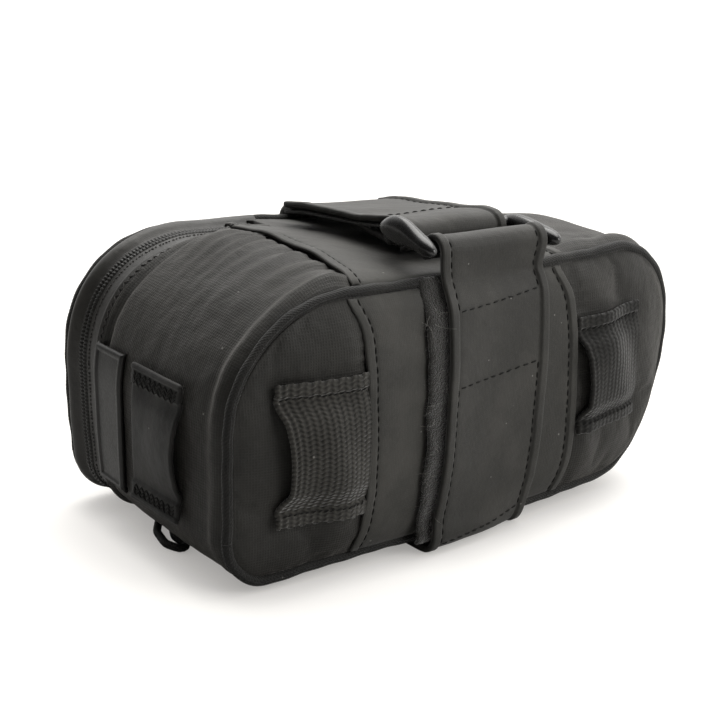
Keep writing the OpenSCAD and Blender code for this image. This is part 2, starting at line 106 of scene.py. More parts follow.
# For a piece that crosses a joint: the body on one side, the body on the other, and two places
DOOR_FOLD = ("bag", "door", (HINGE_X + 2, HINGE_Y, 0), (HINGE_X - 9, HINGE_Y, 0))
RUN_FOLD = ("bag", "ring", (0, 16, RUN_Z), (0, TAIL_Y + 1, RUN_Z))
TAIL_FOLD = ("ring", "tail", (0, TAIL_Y + 0.2, PEEL_Z), (0, TAIL_Y + 9, PEEL_Z))


# ---------- the bag's surfaces ----------
def smooth(t):
    t = np.clip(t, 0, 1)
    return t * t * (3 - 2 * t)


def bell(d, width):
    return np.exp(-((d / width) ** 2))


def unit(v):
    return v / np.maximum(np.linalg.norm(v, axis=-1, keepdims=True), 1e-9)


def lengths_along(path):
    return np.append(0, np.cumsum(np.linalg.norm(np.diff(path, axis=0), axis=-1)))


def resample(path, lengths, at):
    return np.stack([np.interp(at, lengths, path[:, k]) for k in range(path.shape[1])], -1)


def side_arc():
    chord = np.array([LENGTH, (NOSE_WIDTH - REAR_WIDTH) / 2])
    chord_len = np.linalg.norm(chord)
    out = np.array([-chord[1], chord[0]]) / chord_len
    radius = (chord_len**2 / 4 + SIDE_BOW**2) / (2 * SIDE_BOW)
    middle = np.array([CHORD_MID_X, (REAR_WIDTH + NOSE_WIDTH) / 4])
    return middle - out * (radius - SIDE_BOW), radius


SIDE_C, SIDE_R = side_arc()


def edge_y(x):
    """Half width between the piped edges at x."""
    return SIDE_C[1] + np.sqrt(SIDE_R**2 - (x - SIDE_C[0]) ** 2)


def top_z(x):
    return FLOOR_GAP + REAR_HEIGHT + (NOSE_HEIGHT - REAR_HEIGHT) * (x + BACK) / LENGTH


def hump(s):
    return np.clip(1 - np.abs(s) ** 2.5, 0, None)


def puff(x, z):
    belly = SIDE_PUFF * (1 - WAIST * bell(x, WAIST_LEN))
    along = hump((x - CHORD_MID_X) / (LENGTH / 2))
    return belly * along * hump((2 * z - FLOOR_GAP - top_z(x)) / (top_z(x) - FLOOR_GAP))


def side_y(x, z):
    """Distance of a side panel's surface from the bag's middle plane."""
    return edge_y(x) + puff(x, z)


def rim_path():
    """The gusset's outline in x and z: points, outward normals and length along it."""
    corners = np.array([[-BACK, FLOOR_GAP], [FRONT - NOSE_LEAN, FLOOR_GAP],
                        [FRONT, FLOOR_GAP + NOSE_HEIGHT], [-BACK, FLOOR_GAP + REAR_HEIGHT]])
    points, normals = [], []
    for i in range(4):
        back, ahead = corners[i] - corners[i - 1], corners[(i + 1) % 4] - corners[i]
        n0, n1 = unit(np.array([back[1], -back[0]])), unit(np.array([ahead[1], -ahead[0]]))
        centre = corners[i] - CORNER_RADII[i] * (n0 + n1) / (1 + n0 @ n1)
        start = math.atan2(n0[1], n0[0])
        turn = (math.atan2(n1[1], n1[0]) - start) % (2 * math.pi)
        count = max(2, int(CORNER_RADII[i] * turn / RIM_STEP))
        for a in start + turn * np.arange(count + 1) / count:
            normal = np.array([math.cos(a), math.sin(a)])
            points.append(centre + CORNER_RADII[i] * normal)
            normals.append(normal)
    points.append(points[0])
    normals.append(normals[0])
    return np.array(points), np.array(normals), lengths_along(points)


RIM_P, RIM_N, RIM_S = rim_path()
RIM_LEN = RIM_S[-1]


def rim(s):
    """x, z and the outward normal on the outline at length s."""
    s = np.mod(s, RIM_LEN)
    p, n = resample(RIM_P, RIM_S, s), unit(resample(RIM_N, RIM_S, s))
    return p[..., 0], p[..., 1], n[..., 0], n[..., 1]


def rim_s(x, up):
    """Length along the outline at which its top (up 1) or bottom (up -1) passes x."""
    s = np.linspace(0, RIM_LEN, 4000)
    px, _, _, nz = rim(s)
    return s[np.argmin(np.abs(px - x) + 1e3 * (nz * up < 0.7))]


def wander(points, scale, seed=0.0):
    """Smooth noise, about -1 to 1, at points (..., 3) in mm."""
    flat = points.reshape(-1, 3) / scale + seed
    values = [noise.noise(Vector(p)) for p in flat]
    return np.array(values).reshape(points.shape[:-1])


# ---------- meshes ----------
def make(name, verts, faces, material, uv, body, slot, *nodes):
    """A piece that stands for CAD nodes. It rides on a body, or is left unattached with its
    transform baked in.
    """
    mesh = bpy.data.meshes.new(name)
    mesh.from_pydata((verts * MM).tolist(), [], faces)
    layer = mesh.uv_layers.new(name="UVMap")
    index = np.zeros(len(mesh.loops), int)
    mesh.loops.foreach_get("vertex_index", index)
    layer.data.foreach_set("uv", uv[index].ravel())
    mesh.polygons.foreach_set("use_smooth", np.ones(len(mesh.polygons), bool))
    mesh.materials.append(material)
    mesh.update()
    piece = bpy.data.objects.new(name, mesh)
    bpy.context.scene.collection.objects.link(piece)
    if nodes:
        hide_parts(*nodes)
    if isinstance(body, str):
        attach(piece, body)
    else:
        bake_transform(piece)


class Heap:
    """Vertices, faces and texture coordinates of one or more shapes that form one piece."""

    def __init__(self):
        self.verts, self.faces, self.uv, self.count = [], [], [], 0

    def add(self, verts, faces, uv=None):
        self.verts.append(verts)
        self.uv.append(np.zeros((len(verts), 2)) if uv is None else uv)
        self.faces += [tuple(i + self.count for i in f) for f in faces]
        self.count += len(verts)
        return self

    def build(self, name, material, body, slot, *nodes):
        make(name, np.concatenate(self.verts), self.faces, material, np.concatenate(self.uv),
             body, slot, *nodes)


def grid_quads(nu, nv, start=0, closed=False, flip=False):
    i, j = np.meshgrid(np.arange(nu if closed else nu - 1), np.arange(nv - 1), indexing="ij")
    a = i * nv + j
    b = (i + 1) % nu * nv + j
    quads = np.stack([a, b, b + 1, a + 1], -1).reshape(-1, 4) + start
    return (quads[:, ::-1] if flip else quads).tolist()


def slope(points, closed):
    """Change along the first direction."""
    if closed:
        return np.roll(points, -1, 0) - np.roll(points, 1, 0)
    return np.gradient(points, axis=0)


def spread(grid):
    """Texture coordinates in mm: the mean length along each direction of the grid."""
    u = np.append(0, np.cumsum(np.linalg.norm(np.diff(grid, axis=0), axis=2).mean(1)))
    v = np.append(0, np.cumsum(np.linalg.norm(np.diff(grid, axis=1), axis=2).mean(0)))
    return np.stack(np.meshgrid(u, v, indexing="ij"), -1)


def facing(grid, closed=False, centre=BAG_CENTRE):
    """Unit normals that point away from the centre, and whether they were turned."""
    n = unit(np.cross(slope(grid, closed), np.gradient(grid, axis=1)))
    turned = np.sum(n * (grid - centre)) < 0
    return (-n if turned else n), turned


RIM_BULGE = 0.45


def slab(grid, thick, closed=False, uv=None, centre=BAG_CENTRE):
    """A sheet of fabric under an outer surface, with a rounded rim: vertices, faces, uv."""
    nu, nv = grid.shape[:2]
    n, flip = facing(grid, closed, centre)
    inner = grid - n * thick
    uv = spread(grid) if uv is None else uv
    count = nu * nv
    flat, flat_in, flat_uv = grid.reshape(-1, 3), inner.reshape(-1, 3), uv.reshape(-1, 2)
    verts, uvs = [flat, flat_in], [flat_uv, flat_uv]
    faces = grid_quads(nu, nv, 0, closed, flip) + grid_quads(nu, nv, count, closed, not flip)
    index = np.arange(count).reshape(nu, nv)
    if closed:
        rims = [(index[:, 0], (grid[:, 0] - grid[:, 1]), flip),
                (index[:, -1], (grid[:, -1] - grid[:, -2]), not flip)]
    else:
        out = np.zeros((nu, nv, 3))
        out[0] += grid[0] - grid[1]
        out[-1] += grid[-1] - grid[-2]
        out[:, 0] += grid[:, 0] - grid[:, 1]
        out[:, -1] += grid[:, -1] - grid[:, -2]
        around = np.concatenate([index[:-1, 0], index[-1, :-1], index[:0:-1, -1], index[0, :0:-1]])
        rims = [(around, out.reshape(-1, 3)[around], flip)]
    start = 2 * count
    for ring, out, turned in rims:
        verts.append((flat[ring] + flat_in[ring]) / 2 + unit(out) * thick * RIM_BULGE)
        uvs.append(flat_uv[ring])
        m = len(ring)
        for k in range(m):
            j = (k + 1) % m
            for f in ((ring[k], start + k, start + j, ring[j]),
                      (start + k, ring[k] + count, ring[j] + count, start + j)):
                faces.append(tuple(int(i) for i in (f[::-1] if turned else f)))
        start += m
    return np.concatenate(verts), faces, np.concatenate(uvs)


def sheet(name, grid, thick, material, body, slot, *nodes, closed=False, uv=None,
          centre=BAG_CENTRE):
    Heap().add(*slab(grid, thick, closed, uv, centre)).build(name, material, body, slot, *nodes)


def frames_along(path, closed):
    """Side and up of a path that needs no twist."""
    t = unit(slope(path, closed))
    side = np.zeros_like(t)
    start = np.cross(t[0], [0.0, 0.0, 1.0])
    if np.linalg.norm(start) < 0.1:
        start = np.cross(t[0], [0.0, 1.0, 0.0])
    side[0] = unit(start)
    for k in range(1, len(t)):
        side[k] = unit(side[k - 1] - t[k] * (side[k - 1] @ t[k]))
    return side, np.cross(side, t)


def tube_faces(count, sides, closed=False):
    """Quads between rings of points, and a cap at each open end."""
    faces = [(i * sides + k, i * sides + (k + 1) % sides,
              (i + 1) % count * sides + (k + 1) % sides, (i + 1) % count * sides + k)
             for i in range(count if closed else count - 1) for k in range(sides)]
    if not closed:
        faces.append(tuple(range(sides))[::-1])
        faces.append(tuple((count - 1) * sides + k for k in range(sides)))
    return faces


def tube(path, radius, sides, closed=False, profile=None):
    """A round bar along a path. profile(length, angle) scales its radius."""
    path = np.asarray(path, float)
    side, up = frames_along(path, closed)
    angle = np.linspace(0, 2 * math.pi, sides, endpoint=False)
    length = lengths_along(path)
    r = np.broadcast_to(np.asarray(radius, float).reshape(-1, 1), (len(path), sides))
    if profile is not None:
        r = r * profile(length[:, None], angle[None, :])
    ring = (path[:, None] + r[..., None] * (np.cos(angle)[None, :, None] * side[:, None]
                                            + np.sin(angle)[None, :, None] * up[:, None]))
    uv = np.stack(np.broadcast_arrays(length[:, None], angle[None, :] * np.mean(radius)), -1)
    return ring.reshape(-1, 3), tube_faces(len(path), sides, closed), uv.reshape(-1, 2)


STITCH, STITCH_PITCH, THREAD_R = 1.9, 2.6, 0.21
STITCH_SHIFT, STITCH_TURN = 0.12, 0.09


def stitch_row(heap, path, normals, stitch=STITCH, pitch=STITCH_PITCH, radius=THREAD_R, slant=0.0,
               zigzag=False):
    """Thread lying on a surface: short rounded bars along a path."""
    both = np.concatenate([path, normals], 1)
    lengths = lengths_along(both)
    total = lengths[-1]
    s = np.linspace(0, total, max(2, int(round(total / 0.25)) + 1))
    dense = resample(both, lengths, s)
    count = max(1, int(total / pitch))
    t = np.linspace(-0.5, 0.5, 6)
    for k in range(count):
        centre = (k + 0.5) * total / count + RANDOM.normal(0, STITCH_SHIFT)
        p = resample(dense[:, :3], s, centre + t * stitch)
        n = unit(resample(dense[:, 3:], s, centre))
        across = unit(np.cross(n, p[-1] - p[0]))
        turn = slant * (-1 if zigzag and k % 2 else 1) + RANDOM.normal(0, STITCH_TURN)
        p = p + across * (t * stitch * turn)[:, None]
        p = p + n * (radius * (0.75 - 3.4 * t**2))[:, None]
        heap.add(*tube(p, radius * np.sqrt(np.clip(1.06 - (2 * t) ** 2, 0.06, 1)), 6))


def fibre(heap, root, direction, length, radius, curl):
    """One stray hair that bends as it leaves its root."""
    way = unit(direction)
    bend = RANDOM.normal(0, 1, 3) * curl
    points = [root]
    for _ in range(5):
        way = unit(way + bend / 5 + RANDOM.normal(0, 0.05, 3))
        points.append(points[-1] + way * length / 5)
    heap.add(*tube(points, radius * np.linspace(1, 0.4, 6), 3))


# ---------- materials ----------
class Graph:
    """Short names for the shader nodes of one material, or of the world."""

    def __init__(self, name, kind="Material"):
        kinds = {"Material": bpy.data.materials, "World": bpy.data.worlds}
        self.block = kinds[kind].new(name)
        self.block.use_nodes = True
        self.tree = self.block.node_tree
        self.tree.nodes.clear()
        self.out = self.tree.nodes.new("ShaderNodeOutput" + kind)

    def put(self, socket, value):
        if isinstance(value, bpy.types.NodeSocket):
            self.tree.links.new(value, socket)
        else:
            socket.default_value = value

    def node(self, kind, inputs=None, **settings):
        n = self.tree.nodes.new("ShaderNode" + kind)
        for key, value in settings.items():
            setattr(n, key, value)
        for key, value in (inputs or {}).items():
            self.put(n.inputs[key], value)
        return n

    def math(self, op, a, b=0.0):
        return self.node("Math", {0: a, 1: b}, operation=op).outputs[0]

    def times(self, a, b):
        return self.math("MULTIPLY", a, b)

    def plus(self, a, b):
        return self.math("ADD", a, b)

    def uv(self):
        """u and v in mm."""
        return self.node("SeparateXYZ", {0: self.node("UVMap").outputs[0]}).outputs[:2]

    def place(self):
        """Position in mm."""
        coords = self.node("TexCoord").outputs["Object"]
        return self.node("VectorMath", {0: coords, "Scale": 1 / MM}, operation="SCALE").outputs[0]

    def noise(self, scale, detail=3.0, vector=None):
        inputs = {"Vector": vector or self.place(), "Scale": scale, "Detail": detail,
                  "Roughness": 0.55}
        return self.node("TexNoise", inputs).outputs[0]

    def ramp(self, value, low_at, high_at, low_to=0.0, high_to=1.0):
        inputs = {0: value, 1: low_at, 2: high_at, 3: low_to, 4: high_to}
        return self.node("MapRange", inputs, interpolation_type="SMOOTHSTEP").outputs[0]

    def even_ramp(self, value, low_to=0.0, high_to=1.0):
        """A ramp over the middle of a noise's range."""
        return self.ramp(value, 0.3, 0.7, low_to, high_to)

    def mix(self, factor, a, b):
        return self.node("Mix", {0: factor, 6: a, 7: b}, data_type="RGBA").outputs[2]

    def toned(self, tone, rgb, dark, pale):
        """A colour that a noise turns darker and paler."""
        return self.mix(self.even_ramp(tone), shade(rgb, dark), shade(rgb, pale))

    def wave(self, value, pitch):
        """0 to 1 ripple of a coordinate in mm."""
        turned = self.math("SINE", self.times(value, 2 * math.pi / pitch))
        return self.plus(self.times(turned, 0.5), 0.5)

    def bump(self, height, depth, normal=None):
        inputs = {"Height": height, "Distance": depth * MM, "Strength": 1.0}
        if normal is not None:
            inputs["Normal"] = normal
        return self.node("Bump", inputs).outputs[0]

    def surface(self, **inputs):
        names = {"color": "Base Color", "rough": "Roughness", "spec": "Specular IOR Level",
                 "sheen": "Sheen Weight", "sheen_rough": "Sheen Roughness", "normal": "Normal",
                 "metal": "Metallic", "coat": "Coat Weight", "coat_rough": "Coat Roughness",
                 "sheen_tint": "Sheen Tint"}
        n = self.node("BsdfPrincipled", {names[key]: value for key, value in inputs.items()})
        self.put(self.out.inputs[0], n.outputs[0])
        return self.block


def shade(rgb, factor=1.0):
    return tuple(c * factor for c in rgb) + (1.0,)


def specks(g, size, amount):
    """Sparse lint: 1 on a speck, 0 elsewhere."""
    cells = g.node("TexVoronoi", {"Vector": g.place(), "Scale": 1.0 / size})
    near = g.ramp(cells.outputs["Distance"], 0.10, 0.16, 1.0, 0.0)
    chosen = g.node("SeparateColor", {0: cells.outputs["Color"]}).outputs[0]
    return g.times(near, g.math("LESS_THAN", chosen, amount))


DUST, LINT_COLOUR, LINT_CELL = (0.35, 0.33, 0.30), (0.32, 0.31, 0.29), 2.2


def dusty(g, colour, amount, lint):
    """A colour with pale dust in soft patches and a little lint."""
    patches = g.ramp(g.noise(0.07, 4.0), 0.42, 0.72)
    dust = g.mix(g.times(patches, amount), colour, shade(DUST))
    return g.mix(g.times(specks(g, LINT_CELL, lint), 0.55), dust, shade(LINT_COLOUR))


RIPSTOP_SQUARE, RIPSTOP_THREAD = 0.75, 0.24
RIB_PITCH, KNOT_PITCH = 1.75, 1.3


def ripstop(name, rgb):
    """Thin nylon with a fine square grid of thicker threads."""
    g = Graph(name)
    u, v = g.uv()
    grid = g.math("MAXIMUM", g.math("POWER", g.wave(u, RIPSTOP_SQUARE), 5.0),
                  g.math("POWER", g.wave(v, RIPSTOP_SQUARE), 5.0))
    thread = g.times(g.wave(u, RIPSTOP_THREAD), g.wave(v, RIPSTOP_THREAD))
    tone = g.noise(0.05, 5.0)
    base = g.mix(g.times(grid, 0.15), g.toned(tone, rgb, 0.8, 1.15), shade(rgb, 2.0))
    height = g.plus(grid, g.times(thread, 0.3))
    return g.surface(color=dusty(g, base, 0.03, 0.02), rough=g.even_ramp(tone, 0.5, 0.64),
                     spec=0.32, sheen=0.25, sheen_rough=0.4, sheen_tint=(0.75, 0.72, 0.68, 1.0),
                     normal=g.bump(height, 0.055, g.bump(g.noise(0.35, 5.0), 0.35)))


def coated(name, rgb, rough=0.62, grain=0.05, lint=0.06):
    """Matt rubber-coated webbing with a faint weave under the coat."""
    g = Graph(name)
    u, v = g.uv()
    weave = g.times(g.wave(u, 0.55), g.wave(v, 0.55))
    tone, speckle = g.noise(0.045, 5.0), g.noise(2.4, 2.0)
    base = g.mix(g.ramp(speckle, 0.45, 0.75, 0.0, 0.35), g.toned(tone, rgb, 0.88, 1.12),
                 shade(rgb, 1.8))
    height = g.plus(g.times(weave, 0.5), speckle)
    return g.surface(color=dusty(g, base, 0.05, lint),
                     rough=g.even_ramp(tone, rough - 0.06, rough + 0.06),
                     spec=0.35, sheen=0.12, sheen_rough=0.5,
                     normal=g.bump(height, grain, g.bump(g.noise(0.12, 3.0), 0.5)))


def braid(name, rgb, pitch=1.0):
    """Fine diagonal braid, its colour darker in the grooves between strands as painted shade; u runs
    along the cord and v round it.
    """
    g = Graph(name)
    u, v = g.uv()
    one, two = g.wave(g.plus(u, v), pitch), g.wave(g.math("SUBTRACT", u, v), pitch)
    height = g.math("MAXIMUM", one, g.times(two, 0.7))
    # painted shade and highlight: the colour follows the strands' height, dark in the grooves and
    # pale on the tops
    base = g.mix(height, shade(rgb, 0.6), shade(rgb, 1.4))
    return g.surface(color=dusty(g, base, 0.03, 0.02), rough=0.66, spec=0.3, sheen=0.2,
                     sheen_rough=0.4, normal=g.bump(height, 0.12, g.bump(g.noise(1.5), 0.08)))


def ribbed(name, rgb, depth):
    """Woven elastic: chains of small knots in ribs, its colour darker between ribs and knots as
    painted shade; u runs across the ribs.
    """
    g = Graph(name)
    u, v = g.uv()
    sway = g.times(g.math("SINE", g.times(u, math.pi / RIB_PITCH)), 0.3)
    knot = g.wave(g.plus(v, sway), KNOT_PITCH)
    height = g.plus(g.wave(u, RIB_PITCH), g.times(knot, 0.8))
    # painted shade and highlight: the colour follows the ribs' and knots' height, dark in the
    # hollows between them
    base = g.mix(g.times(height, 0.55), shade(rgb, 0.4), shade(rgb, 1.9))
    return g.surface(color=dusty(g, base, 0.04, 0.03), rough=0.75, spec=0.25, sheen=0.3,
                     sheen_rough=0.4, normal=g.bump(height, depth, g.bump(g.noise(2.5), 0.12)))


def plain_weave(name, rgb, pitch, rough=0.8, depth=0.15):
    g = Graph(name)
    u, v = g.uv()
    height = g.times(g.wave(u, pitch), g.wave(v, pitch))
    # painted shade and highlight: the weave's crossings are paler and its hollows darker, following
    # the weave's height
    base = g.mix(g.times(height, 0.5), g.toned(g.noise(0.06, 4.0), rgb, 0.75, 1.2),
                 shade(rgb, 1.5))
    return g.surface(color=base, rough=rough, spec=0.2, sheen=0.2,
                     normal=g.bump(height, depth, g.bump(g.noise(0.4), 0.3)))


def grainy(name, rgb, scale, depth, rough, spec=0.3, sheen=0.0):
    """Any material whose detail is an even grain: foam, rubber, pile, thread."""
    g = Graph(name)
    tone, grain = g.noise(scale * 0.15, 4.0), g.noise(scale, 4.0)
    base = g.mix(g.ramp(grain, 0.45, 0.8, 0.0, 0.4), g.toned(tone, rgb, 0.8, 1.2),
                 shade(rgb, 1.9))
    return g.surface(color=base, rough=g.even_ramp(grain, rough - 0.06, rough + 0.06),
                     spec=spec, sheen=sheen, sheen_rough=0.5, normal=g.bump(grain, depth))


def glossy(name, rgb):
    """Polished moulded plastic with faint flow marks and fine scratches."""
    g = Graph(name)
    stretched = g.node("Mapping", {"Vector": g.place(), "Scale": (0.3, 4.0, 4.0)}).outputs[0]
    scratch = g.ramp(g.noise(1.0, 5.0, stretched), 0.5, 0.75)
    return g.surface(color=g.toned(g.noise(0.2, 3.0), rgb, 0.8, 1.3),
                     rough=g.plus(g.times(scratch, 0.1), 0.27), spec=0.6, coat=0.15,
                     coat_rough=0.2, normal=g.bump(g.noise(0.35, 2.0), 0.012))


def enamel(name, rgb):
    """Black enamel over die-cast metal, rubbed bright along its edges."""
    g = Graph(name)
    tone = g.noise(0.8, 4.0)
    edge = g.node("NewGeometry").outputs["Pointiness"]
    worn = g.times(g.ramp(edge, 0.53, 0.6), g.ramp(tone, 0.4, 0.6))
    base = g.mix(worn, shade(rgb), (0.16, 0.155, 0.15, 1.0))
    return g.surface(color=base, rough=g.even_ramp(tone, 0.28, 0.42), metal=0.6, spec=0.5,
                     normal=g.bump(g.noise(1.6, 3.0), 0.05))


SKIN = ripstop("skin", (0.0185, 0.0178, 0.0158))
BAND = coated("band", (0.0325, 0.0315, 0.028))
STRAP = coated("strap", (0.0285, 0.0276, 0.0246), lint=0.05)
LOOP_WEB = coated("loop_web", (0.0065, 0.0063, 0.0056), 0.7)
ZIP_TAPE = coated("zip_tape", (0.0205, 0.0195, 0.0175), 0.42, 0.03, 0.02)
PIPING = braid("piping", (0.0075, 0.0073, 0.0066))
CORD = braid("cord", (0.030, 0.029, 0.027), 0.9)
ELASTIC = ribbed("elastic", (0.034, 0.0325, 0.029), 0.25)
ELASTIC_WORN = ribbed("elastic_worn", (0.0105, 0.0102, 0.0092), 0.12)
LINING_CLOTH = plain_weave("lining", (0.11, 0.12, 0.13), 0.5)
TAPE_BINDING = plain_weave("binding", (0.035, 0.035, 0.034), 0.9, 0.85, 0.3)
FOAM_SHEET = grainy("foam", (0.40, 0.40, 0.39), 2.6, 0.35, 0.9, 0.1)
PILE = grainy("pile", (0.020, 0.019, 0.017), 2.2, 0.6, 0.95, 0.1, 0.6)
TAG_RUBBER = grainy("tag_rubber", (0.016, 0.0155, 0.0145), 1.4, 0.06, 0.42, 0.4)
ZIP_THREAD = grainy("zip_thread", (0.045, 0.043, 0.040), 3.0, 0.1, 0.7, 0.3)
THREAD = grainy("thread", (0.016, 0.016, 0.015), 3.0, 0.1, 0.75, 0.2)
COIL = grainy("zip_coil", (0.016, 0.0155, 0.014), 3.0, 0.05, 0.45, 0.35)
RING_PLASTIC = glossy("ring_plastic", (0.010, 0.010, 0.010))
LINT = grainy("lint", (0.30, 0.29, 0.27), 3.0, 0.05, 0.9, 0.1, 0.3)
METAL = enamel("zip_metal", (0.030, 0.029, 0.028))


# ---------- how the cloth lies on those surfaces ----------
EDGE_STEPS = np.array([0, 0.25, 0.6, 1.2, 1.8, 2.2, 2.5, 2.8, 3.1, 3.4, 3.8, 4.5, 5.5])
LIP_WIDTH, LIP_HEIGHT = 2.3, 0.5
STITCH_IN = 3.2


def fine(a, b, step):
    """Places from a to b, closer together beside folded edges."""
    size = b - a
    count = max(2, int((size - 2 * EDGE_STEPS[-1]) / step) + 1)
    middle = np.linspace(EDGE_STEPS[-1], size - EDGE_STEPS[-1], count)
    return a + np.concatenate([EDGE_STEPS[:-1], middle, (size - EDGE_STEPS[::-1])[1:]])


def lip(d):
    """Height of a folded, stitched edge at distance d in from it."""
    fold = LIP_HEIGHT * (1 - smooth((d - LIP_WIDTH) / 0.6)) * smooth(d / 0.6 + 0.3)
    return fold - 0.22 * bell(d - STITCH_IN, 0.5)


def under_band(x):
    """1 where the wear band covers the cloth, 0 where it is free."""
    return smooth((x - BAND_BACK) / 2.5) * smooth((BAND_FRONT - x) / 2.5)


def beside_band(x, reach):
    """1 at the band's edges, fading with distance from it."""
    return np.exp(-np.clip(np.maximum(BAND_BACK - x, x - BAND_FRONT), 0, None) / reach)


def at_band_edges(x, width):
    return bell(x - BAND_BACK, width) + bell(x - BAND_FRONT, width)


def swell(x, y, nz):
    """The taut rear edge of the wear band stands high over the top."""
    across = (1 - np.clip(np.abs(y / edge_y(x)), 0, 1) ** 6) * (1 - 0.5 * smooth((y - 12) / 12))
    return 2.7 * bell(x - BAND_BACK - 4.5, 14) * across * smooth(nz / 0.5)


PLEAT, SMALL_PLEAT = 6.6, 2.9


def gusset_lift(s, y):
    """How far the gusset's cloth stands off its outline."""
    x, z, _, nz = rim(s)
    half = edge_y(x)
    d = y + half
    points = np.stack([x + 0 * y, y, z + 0 * y], -1)
    crown = 1.9 * (1 - np.abs(y / half) ** 2.6) * (0.1 + 0.9 * smooth(nz + 1))
    upper, on_top = smooth(nz + 0.5), smooth((nz - 0.2) / 0.5)
    roll = (0.5 + 1.2 * upper) * bell(d - 4.4, 2.4) - 0.5 * bell(d, 1.5)
    roll = roll - 0.35 * upper * bell(d - 8.6, 1.5)
    fan = y + (BAND_BACK - x) * 0.12 * np.sin(y / 11)
    folds = np.sin(2 * math.pi * fan / PLEAT + 1.3 * np.sin(y / 6.0) + 0.8)
    small = np.sin(2 * math.pi * fan / SMALL_PLEAT + 2.0 * np.sin(y / 9.0)) * bell(x - BAND_BACK, 10)
    pleats = (0.95 * folds + 0.45 * small) * beside_band(x, 9.0) * on_top
    pleats = pleats * smooth((half - np.abs(y)) / 8)
    pillow = 1.5 * on_top * (bell(BAND_BACK - 8 - x, 8) + 0.7 * bell(x - BAND_FRONT - 7, 7))
    loose = 0.5 * wander(points, 15.0) + 0.22 * wander(points, 5.5, 3.0)
    pinch = 1 - (0.6 - 0.35 * on_top) * at_band_edges(x, 2.2) * smooth(abs(nz))
    free = (1 - under_band(x)) * pinch
    return (crown + roll + pleats + pillow + loose * smooth(d / 5)) * free + swell(x, y, nz)


def panel_lift(x, z):
    """How far a side panel's cloth stands off its surface."""
    height = (z - FLOOR_GAP) / (top_z(x) - FLOOR_GAP)
    rim_fade = np.clip(hump(2 * height - 1) * hump((x - CHORD_MID_X) / (LENGTH / 2)), 0, 1)
    pillow = 1.7 * bell(BAND_BACK - 8 - x, 8) + 1.2 * bell(x - BAND_FRONT - 8, 8)
    gather_zone = beside_band(x, 7.0) * smooth((height - 0.35) / 0.4)
    gathers = 0.3 * gather_zone * np.sin(2 * math.pi * z / 3.4 + 1.5 * np.sin(z / 5))
    points = np.stack(np.broadcast_arrays(x, 0 * x, z), -1)
    loose = 0.7 * wander(points, 21.0, 5.0) + 0.3 * wander(points, 7.0, 9.0)
    shallow = 0.5 * np.sin(2 * math.pi * (x + 0.25 * z) / 17)
    pinch = 1 - 0.5 * at_band_edges(x, 2.5)
    free = (1 - under_band(x)) * pinch * smooth(rim_fade * 1.6)
    return (pillow + gathers + loose + shallow) * free


# Where the soft hoop leaves its even outline: x, z, reach, amount outward, side
SLUMPS = ((-74, 12, 11, -2.2, 1), (-74, 64, 15, 1.2, 1), (-81, 32, 18, -0.4, 1),
          (-38, 77, 24, -1.3, 1), (0, 74, 20, -2.0, 1), (40, 71, 24, -4.4, 1),
          (-70, 5, 16, 1.4, -1), (62, 12, 15, -2.0, -1), (75, 30, 15, 1.3, -1),
          (72, 60, 14, 1.0, -1), (62, 73, 11, 0.9, -1), (64, 67, 15, -1.6, 1))


def slump(x, z, y):
    total = 0.0
    for sx, sz, reach, amount, side in SLUMPS:
        far = ((x - sx) ** 2 + (z - sz) ** 2) / reach**2
        total = total + amount * np.exp(-far) * smooth((side * y + 2) / 28)
    return total


def on_rim(s, y, lift):
    """Points on the gusset's outline, lifted outward."""
    x, z, nx, nz = rim(s)
    lift = lift + slump(x, z, y)
    return np.stack(np.broadcast_arrays(x + nx * lift, y, z + nz * lift), -1)


def rear_s(z):
    """Length along the outline at which the rear face passes z."""
    s = np.linspace(RIM_S[np.argmax(RIM_P[:, 1])], RIM_LEN + CORNER_RADII[0] * 1.4, 3000)
    return np.interp(z, rim(s)[1][::-1], s[::-1])


TOP_HINGE, LOW_HINGE = rim_s(HINGE_X, 1), rim_s(HINGE_X, -1)
NEAR_TUCK = 0.3


# ---------- gusset ----------
RIB_IN = 2.2


def gusset_grid(s0, s1, far_of, step=1.3, rows=40, inset=0.0, loosen=1.0):
    """Places along and across the gusset between two lengths, and the cloth's lift there."""
    s = np.linspace(s0, s1, int(abs(s1 - s0) / step))[:, None]
    v = np.linspace(0, 1, rows)[None, :]
    near = -edge_y(rim(s)[0]) + NEAR_TUCK + inset
    far = far_of(s) - inset
    y = near + (far - near) * v
    return s, y, loosen * gusset_lift(s, y) - inset


def full_width(s):
    return edge_y(rim(s)[0]) - NEAR_TUCK


def to_zip(s):
    return ZIP_NEAR + 0 * s


def build_gusset():
    heap = Heap()
    s, y, lift = gusset_grid(LOW_HINGE - 2, TOP_HINGE + 2, full_width, rows=44)
    x = rim(s)[0]
    far_roll = bell(edge_y(x) - y - 4.0, 2.2) * (1 - under_band(x))
    heap.add(*slab(on_rim(s, y, lift + 0.5 * far_roll), FABRIC))
    s, y, lift = gusset_grid(TOP_HINGE - 2, RIM_LEN + LOW_HINGE + 2, to_zip, rows=56)
    free = 1 - under_band(rim(s)[0])
    rib = 1.3 * bell(y - (ZIP_NEAR - RIB_IN), 1.2) - 0.7 * bell(y - (ZIP_NEAR - 4.6), 0.9)
    lift = 0.5 * free + (lift - 0.5) * smooth((ZIP_NEAR - y) / 7) + rib * free
    heap.add(*slab(on_rim(s, y, lift), FABRIC))
    heap.build("gusset_cloth", SKIN, "bag", "outer_fabric", "gusset")


# ---------- side panels ----------
PANEL_INSET = PIPING_R - 0.3
SETTLE_FRAMES, PRESSURE, SETTLE_SCALE = 20, 3.0, 10 * MM
TAB_SHARE = 0.085


